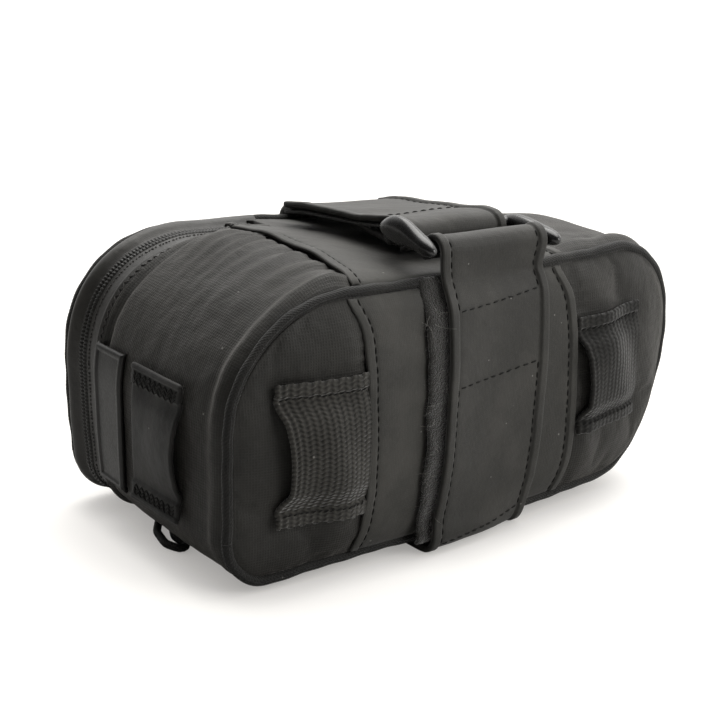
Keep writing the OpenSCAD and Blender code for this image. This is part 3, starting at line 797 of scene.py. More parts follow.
def panel_places(side, inset, rings, step):
    """x and z of rings that shrink from a side's seam to its middle."""
    s = np.linspace(0, RIM_LEN, int(RIM_LEN / step), endpoint=False)
    x, z, nx, nz = rim(s)
    inset = inset - slump(x, z, side * edge_y(x))
    edge = np.stack([x - nx * inset, z - nz * inset], -1)
    middle = np.array([CHORD_MID_X, (FLOOR_GAP + top_z(CHORD_MID_X)) / 2])
    t = 1 - np.linspace(0, 1, rings) ** 1.25 * 0.985
    places = middle + t[None, :, None] * (edge[:, None] - middle)
    return places[..., 0], places[..., 1]


def panel_grid(side, inset, offset, loosen, rings, step):
    x, z = panel_places(side, inset, rings, step)
    y = side_y(x, z) + offset + loosen * panel_lift(x, z)
    return np.stack([x, side * y, z], -1)


def settle(name, grid, held, cap):
    """The panel's cloth, held at its seams and pushed out by the foam by no more than the cap."""
    scene = bpy.context.scene
    _, flip = facing(grid, True)
    mesh = bpy.data.meshes.new(name)
    mesh.from_pydata((grid.reshape(-1, 3) * SETTLE_SCALE).tolist(), [],
                     grid_quads(*grid.shape[:2], 0, True, flip))
    cloth = bpy.data.objects.new(name, mesh)
    scene.collection.objects.link(cloth)
    pins = cloth.vertex_groups.new(name="held")
    for i, weight in enumerate(held.ravel()):
        pins.add([i], float(weight), "REPLACE")
    modifier = cloth.modifiers.new("Cloth", "CLOTH")
    modifier.point_cache.frame_end = SETTLE_FRAMES
    cloth_settings = dict(
        quality=6, mass=0.2, tension_stiffness=12, compression_stiffness=4, shear_stiffness=3,
        bending_stiffness=0.08, shrink_min=-0.02, use_pressure=True,
        uniform_pressure_force=PRESSURE, vertex_group_mass="held")
    for key, value in cloth_settings.items():
        setattr(modifier.settings, key, value)
    modifier.settings.effector_weights.gravity = 0
    for frame_at in range(1, SETTLE_FRAMES + 1):
        scene.frame_set(frame_at)
    settled = cloth.evaluated_get(bpy.context.evaluated_depsgraph_get()).data
    places = np.zeros(len(settled.vertices) * 3)
    settled.vertices.foreach_get("co", places)
    bpy.data.objects.remove(cloth)
    scene.frame_set(1)
    move = places.reshape(grid.shape) / SETTLE_SCALE - grid
    far = np.linalg.norm(move, axis=-1, keepdims=True)
    return grid + move * cap * np.tanh(far / cap) / np.maximum(far, 1e-6)


def held_places(grid, side):
    """1 where a panel is sewn or covered: its rim, under the band and under the loops' tabs."""
    x, z = grid[..., 0], grid[..., 2]
    held = np.maximum(under_band(x), np.arange(grid.shape[1])[None, :] < 2)
    if side < 0:
        for node in ("elastic_loop_rear", "elastic_loop_front"):
            (x0, _, z0), (x1, _, z1) = low(node), high(node)
            beside = smooth((x - x0 + 3) / 2) * smooth((x1 + 3 - x) / 2)
            tall = 2.2 * TAB_SHARE * (z1 - z0)
            tabs = smooth((z0 + tall - z) / 2) * smooth((z - z0 + 3) / 2)
            tabs = tabs + smooth((z - z1 + tall) / 2) * smooth((z1 + 3 - z) / 2)
            held = np.maximum(held, beside * np.clip(tabs, 0, 1))
    return held


def build_panels():
    for side, name, body, nodes, loosen, shape, cap in (
            (-1, "near", "bag", ("side_panel_right",), 1.0, (46, 1.5), 1.1),
            (1, "far", DOOR_FOLD, ("side_panel_left", "door_panel"), 0.8, (30, 1.9), 1.4)):
        grid = panel_grid(side, PANEL_INSET, FABRIC / 2, loosen, *shape)
        grid = settle(name + "_cloth", grid, held_places(grid, side), cap)
        sheet("panel_" + name, grid, FABRIC, SKIN, body, "outer_fabric", *nodes,
              closed=True, uv=grid[..., [0, 2]])


# ---------- piping ----------
BRAID_PITCH, BRAID_STARTS = 1.0, 10


def braided(length, angle):
    """Diagonal strands crossing round a cord."""
    one = np.cos(2 * math.pi * length / BRAID_PITCH + BRAID_STARTS / 2 * angle)
    two = np.cos(2 * math.pi * length / BRAID_PITCH - BRAID_STARTS / 2 * angle)
    return 1 + 0.02 * np.maximum(one, two * 0.8)


def seam_path(side, inset, step, out=0.0):
    s = np.linspace(0, RIM_LEN, int(RIM_LEN / step), endpoint=False)
    x, z, nx, nz = rim(s)
    wobble = 0.12 * np.sin(2 * math.pi * s / 23) + 0.08 * np.sin(2 * math.pi * s / 9 + 1)
    inset = inset + wobble - slump(x, z, side * edge_y(x))
    return np.stack([x - nx * inset, side * (edge_y(x) + out), z - nz * inset], -1)


def build_seam_bars(name, path_of, radius, sides, profile, material, near_node, far_nodes):
    """A bar along each side's seam. The far one is left unattached, with its transform baked in."""
    for side, end, body, nodes in ((-1, "_near", "bag", (near_node,)),
                                   (1, "_far", DOOR_FOLD, far_nodes)):
        bar = tube(path_of(side), radius, sides, True, profile)
        Heap().add(*bar).build(name + end, material, body, name, *nodes)


def build_piping():
    build_seam_bars("piping", lambda side: seam_path(side, 0.2, 0.36), PIPING_R, 24, braided,
                    PIPING, "piping_right", ("piping_left", "door_piping"))


# ---------- linings, foam and seam binding inside ----------
def build_inside():
    foam_in, lining_in = FABRIC + 0.3, FABRIC + FOAM + 0.5
    hoops = (("foam_hoop", foam_in, FOAM, FOAM_SHEET, "foam", "gusset_foam", 0.0),
             ("lining_hoop", lining_in, LINING, LINING_CLOTH, "lining", "main_lining", 0.5))
    for name, inset, thick, material, slot, node, loosen in hoops:
        heap = Heap()
        for s0, s1, far in ((LOW_HINGE - 1, TOP_HINGE + 1, full_width),
                            (TOP_HINGE - 1, RIM_LEN + LOW_HINGE + 1, to_zip)):
            s, y, lift = gusset_grid(s0, s1, far, 3.0, 16, inset, loosen)
            heap.add(*slab(on_rim(s, y, np.minimum(lift, -inset)), thick))
        if node == "main_lining":
            near = panel_grid(-1, lining_in + 2, -lining_in - 0.4, 0.5, 14, 4.0)
            heap.add(*slab(near, thick, True))
        heap.build(name, material, "bag", slot, node)
    near = panel_grid(-1, foam_in + FOAM, -foam_in, 0.0, 14, 4.0)
    sheet("foam_near", near, FOAM, FOAM_SHEET, "bag", "foam", "side_foam_right", closed=True)
    far = panel_grid(1, foam_in + FOAM, -foam_in, 0.0, 14, 3.0)
    sheet("foam_far", far, FOAM, FOAM_SHEET, DOOR_FOLD, "foam", "side_foam_left", "door_foam",
          closed=True)
    far = panel_grid(1, lining_in + 1, -lining_in - 0.2, 0.6, 14, 3.0)
    sheet("lining_far", far, LINING, LINING_CLOTH, DOOR_FOLD, "lining", "door_lining", closed=True)
    build_seam_bars("binding", lambda side: seam_path(side, 5.6, 2.0, -4.6), 1.2, 8, None,
                    TAPE_BINDING, "seam_binding_right", ("seam_binding_left", "door_binding"))


# ---------- zip ----------
COIL_PITCH = 1.05
COIL_R = 0.95


def zip_strip(y0, y1, shape):
    """Half of the zip's tape, from y0 to y1, or to the far seam where y1 is None."""
    s = np.linspace(TOP_HINGE + 0.3, RIM_LEN + LOW_HINGE - 0.3, 230)[:, None]
    v = np.linspace(0, 1, 14)[None, :]
    end = edge_y(rim(s)[0]) - PIPING_R + 0.2 if y1 is None else y1 + 0 * s
    y = y0 + (end - y0) * v
    points = on_rim(s, y, 0 * y)
    return on_rim(s, y, shape(y, end) + 0.12 * wander(points, 9.0))


def coil_profile(length, angle):
    return 1 + 0.2 * np.sin(2 * math.pi * length / COIL_PITCH) * (0.6 + 0.4 * np.cos(angle))


def near_tape(y, end):
    return 0.35 + 0.25 * bell(end - y, 1.0) + 0.45 * bell(y - ZIP_NEAR - 2.1, 0.4)


def far_tape(y, end):
    return 0.35 + 1.9 * smooth((y - ZIP_Y - 2) / 3.5) * smooth((end + 0.6 - y) / 2.6)


def build_zip_tapes():
    near = zip_strip(ZIP_NEAR - 0.4, ZIP_Y - COIL_R * 1.6, near_tape)
    sheet("zip_tape_near", near, FABRIC, ZIP_TAPE, "bag", "zip_tape", "zip_tape_main")
    far = zip_strip(ZIP_Y + COIL_R * 1.6, None, far_tape)
    sheet("zip_tape_far", far, FABRIC, ZIP_TAPE, DOOR_FOLD, "zip_tape", "zip_tape_door")


def build_coils():
    s = np.arange(TOP_HINGE + 0.8, RIM_LEN + LOW_HINGE - 0.8, COIL_PITCH / 5)
    for side, name, node, body in ((-1, "coil_near", "zip_coil_main", "bag"),
                                   (1, "coil_far", "zip_coil_door", DOOR_FOLD)):
        path = on_rim(s, ZIP_Y + side * COIL_R + 0 * s, 0.15 + 0 * s)
        coil = tube(path, COIL_R, 10, False, coil_profile)
        Heap().add(*coil).build(name, COIL, body, "zip_coil", node)


def build_zip_threads():
    heap = Heap()
    rear_foot = CORNER_RADII[0] * math.pi / 2
    for y, lift, stitch, slant, past in ((ZIP_NEAR + 0.9, 0.5, 1.5, 1.3, LOW_HINGE - 2),
                                         (ZIP_Y - 3.1, 0.42, 0.7, 0.5, rear_foot)):
        s = np.linspace(rim_s(BAND_BACK, 1), RIM_LEN + past, 300)
        _, _, nx, nz = rim(s)
        path = on_rim(s, y + 0 * s, lift + 0 * s)
        stitch_row(heap, path, np.stack([nx, 0 * nx, nz], -1), stitch, 1.1, 0.17, slant, True)
    heap.build("zip_stitching", ZIP_THREAD, "bag", "zip_tape")


def build_zip_metal():
    """The end stops, and the finish of the slider and its tab, which keep their CAD shapes."""
    stops = Heap()
    across = ZIP_Y + np.linspace(-2.2, 2.2, 8)
    for s in (TOP_HINGE + 0.6, RIM_LEN + LOW_HINGE - 0.6):
        stops.add(*tube(on_rim(s + 0 * across, across, 0.2 + 0 * across), 0.7, 8))
    stops.build("zip_stops", METAL, "bag", "zip_metal", "zip_end_stops")
    for name in ("zip_slider", "pull_tab"):
        frame["nodes"][name].data.materials.clear()
        frame["nodes"][name].data.materials.append(METAL)


# ---------- wear band ----------
BAND_OFF = 1.6
BAND_EDGES = (BAND_BACK + STITCH_IN, BAND_FRONT - STITCH_IN)
BAND_SHORT = ZIP_NEAR - 0.6


def line_on(grid, normals, places, at):
    """The line of a grid, and its normals, where its first direction passes a place."""
    k = int(np.clip(np.searchsorted(places, at), 1, len(places) - 1))
    w = (at - places[k - 1]) / (places[k] - places[k - 1])
    return grid[k - 1] * (1 - w) + grid[k] * w, normals[k - 1] * (1 - w) + normals[k] * w


def band_side(side, x0):
    """The band down a side, from x0 to its front edge."""
    places = fine(x0, BAND_FRONT, 2.0)
    x = places[:, None]
    v = np.linspace(0, 1, 60)[None, :]
    base, top = FLOOR_GAP + PANEL_INSET + 0.3, top_z(x) - PANEL_INSET - 0.3
    z = base + (top - base) * v
    ends = bell(z - base, 1.6) + bell(z - top, 1.6)
    curl = bell(top - z, 5.0) + 0.7 * bell(z - base, 5.0)
    edge_zone = smooth((x0 + 14 - x) / 12) * (x0 == BAND_BACK) + smooth((x - BAND_FRONT + 14) / 12)
    points = np.stack(np.broadcast_arrays(x, 0 * z + side * 40, z), -1)
    soft = 0.35 * wander(points, 16.0, 2.0) + 0.12 * wander(points, 5.0, 8.0)
    edge = lip(x - x0) + lip(BAND_FRONT - x)
    ripple = 0.25 * bell(x - x0, 4) * np.sin(z / 2.7 + np.sin(z / 4))
    lift = BAND_OFF + edge + (soft + ripple) * smooth(v / 0.08) * smooth((1 - v) / 0.08) - 0.5 * ends
    return np.stack([x - 3.0 * curl * edge_zone, side * (side_y(x, z) + lift), z], -1), places


def band_over(up):
    """The band over the gusset's top (up 1) or under its bottom (up -1)."""
    places = fine(BAND_BACK, BAND_FRONT, 1.8)
    s = np.array([rim_s(x, up) for x in places])[:, None]
    x = places[:, None]
    half = edge_y(x)
    near = -half + PIPING_R * 0.7
    full = half - PIPING_R * 0.7
    far = BAND_SHORT + (full - BAND_SHORT) * smooth((x - HINGE_X + 6.0) / 3)
    v = np.concatenate([np.linspace(0, 0.9, 40), np.linspace(0.91, 1, 14)])[None, :]
    y = near + (far - near) * v
    points = on_rim(s, y, 0 * y)
    crown = (1.1 if up > 0 else 0.2) * (1 - np.abs(y / half) ** 3)
    soft = 0.4 * wander(points, 17.0, 6.0) + 0.12 * wander(points, 5.0, 1.0)
    squeeze = 1.3 * (up > 0) * bell(x, 19) * smooth((y + 5) / 25)
    tuck = 0.7 * bell(y + half, 2.5) + 0.7 * bell(half - y, 2.5) * (far > BAND_SHORT + 1)
    far_lip = lip(far - y) * (x < HINGE_X - 4)
    edge = lip(x - BAND_BACK) + lip(BAND_FRONT - x) + far_lip
    ripple = 0.3 * at_band_edges(x, 5) * np.sin(y / 3.3 + 1)
    rest = 1.25 if up > 0 else 0.6
    lift = rest + crown + soft + ripple + edge * rest / 1.25 - tuck - squeeze + swell(x, y, up)
    grid = on_rim(s, y, lift)
    grid[..., 0] += (up > 0) * 2.0 * bell(x - BAND_BACK, 8) * (1 - (y / half) ** 2)
    return grid, places, y[0]


def build_band(threads):
    for side, x0, name, node in ((-1, BAND_BACK, "band_near_cloth", "band_right"),
                                 (1, HINGE_X + 2, "band_far_cloth", "band_left")):
        grid, places = band_side(side, x0)
        sheet(name, grid, FABRIC, BAND, "bag", "band", node)
        normals, _ = facing(grid)
        for at in (x0 + STITCH_IN, BAND_EDGES[1]):
            stitch_row(threads, *line_on(grid, normals, places, at))
    for up, name, node in ((1, "band_top_cloth", "band_top"), (-1, "band_low_cloth", "band_bottom")):
        grid, places, y = band_over(up)
        sheet(name, grid, FABRIC, BAND, "bag", "band", node)
        normals, _ = facing(grid)
        for at in BAND_EDGES:
            stitch_row(threads, *line_on(grid, normals, places, at))
        behind = places < HINGE_X - 7
        column = int(np.argmin(np.abs(y - (BAND_SHORT - STITCH_IN))))
        stitch_row(threads, grid[behind, column], normals[behind, column], 1.6, 2.1, 0.26, 0.4)


# ---------- strap ----------
NEAR_OFF, FAR_OFF = 4.35, 2.8
TURN_OUT = PIPING_R + STRAP_T / 2 + 0.6
SEWN_END = 8.0
SIDE_LOW, SIDE_HIGH = FLOOR_GAP + 6, top_z(0) - 6
UNDER_Z = STRAP_T / 2
RUN_FROM = 20.0
TAIL_LEN = high("strap_tail")[1] - TAIL_Y
TAIL_SKEW = 2.0
FAR_DRIFT = 8.0


def near_drift(z):
    return 0.6 * smooth((78 - z) / 10) - STRAP_LEAN * np.clip((72 - z) / 66, 0, 1)


def lean(y, z):
    """The strap's drift to the rear down the near side, and forward over the far edge."""
    far_drift = FAR_DRIFT * smooth((y + 22) / 46) * smooth((z - 20) / 50)
    return near_drift(z) * smooth(0.5 - y / (2 * edge_y(0))) + far_drift


def arc(centre, radius, a0, a1, count):
    a = np.radians(np.linspace(a0, a1, count + 1))
    return [(centre[0] + radius * math.cos(k), centre[1] + radius * math.sin(k)) for k in a]


RUN_Y, RUN_HEIGHTS = (-15.0, 0.0, 15.0, 27.0, 36.0), (78.6, 78.2, 76.9, 75.0, 73.6)
TAIL_SHAPE_Y = (-24.4, -20.5, -14.6, -7.5, 0.0, 18.0, 30.0)
TAIL_HEIGHTS = (84.3, 84.2, 83.0, 81.9, 81.2, 79.4, 76.7)
RING_SLOPE = 0.055


def run_height(y):
    """Height of the top run's centre line: it climbs from the far edge to the far bar."""
    return np.interp(y, RUN_Y, RUN_HEIGHTS)


def sloped(path, x):
    """The strap's top and the ring follow the bag's fall towards the nose."""
    path[:, 2] -= RING_SLOPE * x * smooth((path[:, 2] - 70) / 6)
    return path


def turn_under(y, out):
    return [(y - out * 0.4, UNDER_Z + 4), (y - out * 1.9, UNDER_Z + 1.2), (y - out * 5.4, UNDER_Z)]


def even(points, count, passes=3):
    """The path with evenly spaced points and its corners eased."""
    points = np.array(points, float)
    lengths = lengths_along(points)
    path = resample(points, lengths, np.linspace(0, lengths[-1], count))
    for _ in range(passes):
        path[1:-1] = (path[:-2] + 2 * path[1:-1] + path[2:]) / 4
    return path


def drawn_in(x, y):
    """The strap is squeezed a little where it passes round the ring's far bar."""
    return x * (1 - 0.07 * (1 - smooth((y - TAIL_Y) / 8)))


def lying(path, x, place):
    """The strap's line at x across it: its y and z from the path, its own x from place."""
    return sloped(np.column_stack([place, path]), x)


def wrap_path(x):
    """Round the near bar, down, under, up and over to where the top run is free."""
    out, top = edge_y(x) + TURN_OUT, top_z(x)
    ease = smooth(x / STRAP_HALF)
    near_z = np.linspace(SIDE_HIGH, SIDE_LOW + 5 * ease, 14)
    near = [(-side_y(x + near_drift(z), z) - NEAR_OFF, z) for z in near_z]
    far = [(side_y(x, z) + FAR_OFF, z) for z in np.linspace(SIDE_LOW, SIDE_HIGH, 14)]
    under = edge_y(x) * 0.6
    points = (arc(NEAR_BAR, WRAP_R, SEWN_END, 170, 14)
              + [(0.3 - out, top + PIPING_R), (-out, top - 1)] + near
              + turn_under(near[-1][0] - 0.8 + 4 * ease, -1)
              + [(y, UNDER_Z) for y in np.linspace(-under, under, 5)]
              + turn_under(far[0][0], 1)[::-1] + far
              + [(out, top - 5), (out - 0.4, top - 2.2), (out - 2.2, top - 0.2)]
              + [(y, run_height(y)) for y in (out - 5, 27, RUN_FROM)])
    path = even(points, 330)
    return lying(path, x, x + lean(*path.T))


def run_path(x):
    points = [(y, run_height(y)) for y in np.linspace(RUN_FROM, TAIL_Y + 9, 8)]
    path = even(points + [(TAIL_Y + 0.3, FAR_BAR[1] - WRAP_R)], 40)
    return lying(path, x, drawn_in(x, path[:, 0]) + lean(*path.T))


def tail_path(x):
    bend = arc(FAR_BAR, WRAP_R, 272, 90, 16)
    ys = np.linspace(TAIL_Y + 1, TAIL_Y + TAIL_LEN, 26)
    path = even(bend + [(y, np.interp(y, TAIL_SHAPE_Y, TAIL_HEIGHTS)) for y in ys], 96, 8)
    share = np.clip((path[:, 0] - TAIL_Y) / TAIL_LEN, 0, 1) * (path[:, 1] > FAR_BAR[1] - 8)
    share = share * (np.arange(len(path)) > 12)
    path[:, 1] -= 0.045 * x * share**2
    return lying(path, x, drawn_in(x, path[:, 0]) - TAIL_SKEW * share)


def strap_grid(path_of, wave=0.3):
    """The outer face of the strap along a path, with folded edges."""
    across = fine(-STRAP_HALF, STRAP_HALF, 2.2)
    middle = np.array([path_of(x) for x in across])
    normals, _ = facing(middle)
    d = STRAP_HALF - np.abs(across)
    soft = wave * wander(middle, 14.0, 4.0) + 0.08 * wander(middle, 3.5)
    lift = STRAP_T / 2 + lip(d)[:, None] + soft
    grid = middle + normals * lift[..., None]
    grid[..., 2] = np.maximum(grid[..., 2], 0.03)
    return grid, normals, across


def box_stitch(threads, grid, normals, across, start, end, rows=(0, 1)):
    """Stitching inside the strap's edges from line start to line end, and across chosen ends."""
    inner = STRAP_HALF - STITCH_IN
    part, part_n = grid[:, start:end], normals[:, start:end]
    for at in (-inner, inner):
        stitch_row(threads, *line_on(part, part_n, across, at))
    inside = np.abs(across) <= inner
    for row in rows:
        k = (start, end - 1)[row]
        stitch_row(threads, grid[inside, k], normals[inside, k])


ROW_HIGH, ROW_LOW = 66.0, 46.5


def row_at(line, side, height):
    """Where the strap's middle line passes a height on the near (-1) or far (1) side."""
    index = np.flatnonzero(side * line[:, 1] > 30)
    return int(index[np.argmin(np.abs(line[index, 2] - height) + 99 * (index < 25))])


def build_strap(threads):
    wrap, normals, across = strap_grid(wrap_path)
    sheet("strap_wrap", wrap, STRAP_T, STRAP, "bag", "strap", "strap")
    line = wrap[len(across) // 2]
    near = np.flatnonzero(line[:, 1] < -30)
    top = int(near[np.argmax(line[near, 2])]) + 2
    for start, end, rows in ((top, row_at(line, -1, ROW_HIGH), (1,)),
                             (row_at(line, -1, ROW_LOW), row_at(line, -1, 3.0), (0, 1)),
                             (row_at(line, 1, 3.0), row_at(line, 1, 40.0), (0, 1))):
        box_stitch(threads, wrap, normals, across, start, end, rows)
    run, _, _ = strap_grid(run_path, 0.15)
    sheet("strap_run", run, STRAP_T, STRAP, RUN_FOLD, "strap", "strap")
    tail, normals, across = strap_grid(tail_path, 0.4)
    sheet("strap_tail_cloth", tail, STRAP_T, STRAP, TAIL_FOLD, "strap", "strap_bend", "strap_tail",
          centre=FAR_BELOW)
    tail_threads = Heap()
    box_stitch(tail_threads, tail, normals, across, 36, len(tail[0]) - 8, (0,))
    tail_threads.build("tail_stitches", THREAD, TAIL_FOLD, "strap")


# ---------- hook and loop ----------
def fuzz(heap, grid, down, count, rows, depth, way, jitter, lengths):
    """Fibres that stick out beside the first rows of a pile."""
    for _ in range(count):
        k = RANDOM.integers(2, grid.shape[1] - 2)
        root = grid[RANDOM.integers(0, rows), k] - down[k] * RANDOM.uniform(*depth)
        heading = np.array(way) + RANDOM.normal(0, jitter, 3)
        fibre(heap, root, heading, RANDOM.uniform(*lengths), RANDOM.uniform(0.03, 0.06), 0.9)


def build_side_pile():
    """The fuzzy layer under the near side of the strap, and lint caught on it."""
    places = np.linspace(-STRAP_HALF - 6.0, STRAP_HALF - 8, 22)
    lines = np.array([wrap_path(x) for x in places])
    middle = lines[len(places) // 2]
    part = lines[:, (middle[:, 1] < -30) & (np.arange(len(middle)) > 16)]
    part = part[:, (part[0, :, 2] > 2.5) & (part[0, :, 2] < 76.0)]
    normals, _ = facing(part)
    sway = 0.9 * wander(part[:1] * [0, 0, 1], 9.0, 2.0)
    shift = sway + 2.3 * np.clip((70 - part[:1, :, 2]) / 60, 0, 1)
    part = part + np.stack([shift, 0 * sway, 0 * sway], -1)
    rough = 0.22 * wander(part, 1.6) + 0.15 * wander(part, 5.0)
    outer = part + normals * (-STRAP_T / 2 - 0.3 + rough)[..., None]
    pile = Heap().add(*slab(outer, 1.1))
    fuzz(pile, outer, normals[0], 650, 5, (0.0, 1.0), (-1.0, -0.35, 0.0), 0.5, (0.8, 2.6))
    pile.build("pile_near", PILE, "bag", "pile", "strap_pile")
    stray = Heap()
    for _ in range(38):
        k = RANDOM.integers(4, outer.shape[1] - 4)
        root = outer[RANDOM.integers(0, 4), k] + normals[0, k] * 0.2
        way = np.array([-0.8, -0.5, 0.0]) + RANDOM.normal(0, 0.7, 3)
        fibre(stray, root, way, RANDOM.uniform(2.5, 6.0), 0.045, 2.4)
    stray.build("lint_near", LINT, "bag", "pile")


def build_run_pad():
    """The loop pad on the strap's top run."""
    ys = np.linspace(-6, 24, 30)
    xs = np.linspace(-STRAP_HALF + 1, STRAP_HALF - 1, 30)
    rise = STRAP_T / 2 + 0.5
    pad = np.array([[(x + lean(y, 78.0), y, run_height(y) + rise - RING_SLOPE * x) for y in ys]
                    for x in xs])
    pad[..., 2] += 0.12 * wander(pad, 1.5)
    sheet("loop_pad_cloth", pad, 0.5, PILE, RUN_FOLD, "pile", "strap_loop_pad")


def build_tail_pad():
    """The hook pad under the tail."""
    lines = np.array([tail_path(x) for x in np.linspace(-STRAP_HALF + 0.4, STRAP_HALF - 0.4, 30)])
    under = lines[:, (lines[0, :, 1] > TAIL_Y + 6) & (np.arange(lines.shape[1]) > 20)]
    under = under - [0, 0, STRAP_T / 2 + 0.05]
    under[..., 2] += 0.1 * wander(under, 1.4)
    pad = Heap().add(*slab(under, 0.7, centre=FAR_BELOW))
    down = np.tile([0, 0, 1.0], (under.shape[1], 1))
    fuzz(pad, under, down, 260, 2, (0.1, 0.9), (-1.0, -0.1, -0.25), 0.4, (0.6, 1.9))
    pad.build("hook_pad_cloth", PILE, TAIL_FOLD, "pile", "tail_hook_pad")


# ---------- ring ----------
RING_END_X = STRAP_HALF + 2.6
END_SIDES = 28


def build_ring():
    """Two bars joined by bean-shaped end pieces."""
    along_bars = FAR_BAR - NEAR_BAR
    span = np.linalg.norm(along_bars)
    way = along_bars / span
    over = np.array([-way[1], way[0]])
    heap = Heap()
    for bar in (NEAR_BAR, FAR_BAR):
        xs = np.linspace(-RING_END_X, RING_END_X, 24)
        heap.add(*tube([(x, bar[0], bar[1] - RING_SLOPE * x) for x in xs], BAR_R, 20))
    t = np.linspace(-5.2, span + 2.6, 72)
    share = 2 * (t - t[0]) / (t[-1] - t[0]) - 1
    arch = 0.9 + 2.2 * smooth((share + 1.1) / 1.3) - 0.9 * smooth((share - 0.5) / 0.6)
    round_off = np.sqrt(np.clip(1 - np.abs(share) ** 4.0, 0, 1)) + 1e-3
    angle = np.linspace(0, 2 * math.pi, END_SIDES, endpoint=False)
    for side in (-1, 1):
        full = 1.0 if side < 0 else 0.25
        boss = 0.25 * bell(share + 0.72, 0.22)
        wide = (2.35 + boss) * round_off
        tall = (2.2 + boss + 1.7 * full * bell(share - 0.3, 0.62)) * round_off
        x = side * (RING_END_X + 0.5) + wide[:, None] * np.cos(angle)
        m = (arch * full)[:, None] + tall[:, None] * np.sin(angle)
        y = NEAR_BAR[0] + way[0] * t[:, None] + over[0] * m
        z = NEAR_BAR[1] + way[1] * t[:, None] + over[1] * m - RING_SLOPE * x
        heap.add(np.stack([x, y, z], -1).reshape(-1, 3), tube_faces(len(t), END_SIDES))
    heap.build("ring_shape", RING_PLASTIC, "ring", "ring_plastic", "buckle_ring")


# ---------- loops and tag ----------
LOOP_WAIST = 2.6
LIGHT_TAB = 0.13
TAG_WIDE, TAG_TALL = 14.0, 37.0


def shares(nu, nv):
    """0 to 1 along a grid's first and second direction."""
    return np.linspace(0, 1, nu)[:, None], np.linspace(0, 1, nv)[None, :]


def arch(v, tab, rise, power=1.0):
    """How far a loop stands up between its two sewn tabs."""
    free = smooth((v - tab) / rise) * smooth((1 - tab - v) / rise)
    return np.sin(math.pi * np.clip((v - tab) / (1 - 2 * tab), 0, 1)) ** power * free


def on_tabs(v, tab, width):
    """1 on a loop's two sewn tabs, 0 between them."""
    return 1 - smooth((v - tab) / width) + smooth((v - 1 + tab) / width)


def loop_grid(node, stand, relief):
    """An elastic loop sewn flat at both ends and standing off in between."""
    (x0, _, z0), (x1, _, z1) = low(node), high(node)
    u, v = shares(101, 120)
    bulge = arch(v, TAB_SHARE, 0.16, 0.6)
    x = x0 + (x1 - x0) * u + LOOP_WAIST * bulge * (1.5 - v) * (1 - u) ** 2 - 0.6 * bulge * u**3
    z = z0 + (z1 - z0) * v
    rib = (x1 - x0) * u / RIB_PITCH
    ribs = 0.16 * relief * np.abs(np.cos(math.pi * rib))
    knots = np.cos(2 * math.pi * (z - z0) / KNOT_PITCH + math.pi * np.round(rib))
    wavy = 0.25 * np.sin(v * 9 + 1) * bulge
    fold = 0.7 * on_tabs(v, TAB_SHARE, 0.02)
    crease = bell(v - TAB_SHARE - 0.02, 0.012) + bell(0.98 - TAB_SHARE - v, 0.012)
    lift = 1.9 + stand * bulge * (1.15 - 0.35 * u) + ribs + 0.07 * relief * knots
    y = side_y(x, z) + panel_lift(x, z) + lift + wavy + fold - 0.35 * crease
    return np.stack(np.broadcast_arrays(x, -y, z), -1)


def build_loops(threads):
    for name, node, stand, relief, cloth in (
            ("loop_rear_web", "elastic_loop_rear", 3.2, 1.0, ELASTIC),
            ("loop_front_web", "elastic_loop_front", 2.6, 0.45, ELASTIC_WORN)):
        grid = loop_grid(node, stand, relief)
        sheet(name, grid, 1.3, cloth, "bag", "elastic", node)
        normals, _ = facing(grid)
        for share in (TAB_SHARE, 1 - TAB_SHARE):
            k = int(share * (grid.shape[1] - 1))
            stitch_row(threads, grid[3:-3, k], normals[3:-3, k], 1.5, 1.9, 0.2, 0.3)


def rear_grid(node, lift_of, nu, nv, edge=0.0, aside=(0.0, 0.0)):
    """A strip on the rear face over a node's width and height; v runs upwards."""
    (_, y0, z0), (_, y1, z1) = low(node), high(node)
    u, v = shares(nu, nv)
    z = z0 + (z1 - z0) * v
    y0, y1 = y0 + aside[0], y1 + aside[1]
    y = y0 + (y1 - y0) * u + edge * np.sin(math.pi * v) * (0.5 - u)
    s = rear_s(z + 0 * y)
    return on_rim(s, y, gusset_lift(s, y).mean(1, keepdims=True) + lift_of(u, v))


def light_loop_lift(u, v):
    hem = smooth((0.035 - v) / 0.01) + smooth((v - 0.965) / 0.01)
    bulge = 2.6 * arch(v, LIGHT_TAB, 0.12) * (1.05 - 0.9 * u)
    return 1.4 + bulge + 0.6 * on_tabs(v, LIGHT_TAB, 0.015) + 0.5 * hem


def build_light_loop(threads):
    grid = rear_grid("light_loop", light_loop_lift, 40, 110, 0.9, (-1.6, -3.2))
    sheet("light_loop_web", grid, 1.2, LOOP_WEB, "bag", "strap", "light_loop")
    normals, _ = facing(grid)
    for share in (0.055, 0.08, 0.105, 0.895, 0.92, 0.945):
        k = int(share * (grid.shape[1] - 1))
        stitch_row(threads, grid[2:-2, k], normals[2:-2, k], 1.6, 1.3, 0.2, 0.9, True)


def tag_lift(u, v):
    """A blank tag with a raised border."""
    d = np.minimum(np.minimum(u, 1 - u) * TAG_WIDE, np.minimum(v, 1 - v) * TAG_TALL)
    return 1.45 + 0.45 * smooth((1.7 - d) / 0.35) - 0.7 * smooth((0.55 - d) / 0.55)


def build_tag():
    grid = rear_grid("rear_tag", tag_lift, 60, 130)
    sheet("tag_rubber_blank", grid, 1.4, TAG_RUBBER, "bag", "tag_rubber", "rear_tag")


# ---------- cord ----------
# The cord's two strands in plan, from the pull tab's hole to the free loop and back
CORD_OUT = ((-50.5, 30.5), (-59, 24), (-68, 15.5), (-74.5, 6), (-77, -3), (-75.5, -8.5))
CORD_BACK = ((-72.8, -7.5), (-72.5, 0), (-67.5, 10), (-59, 19.5), (-51.5, 28.2))


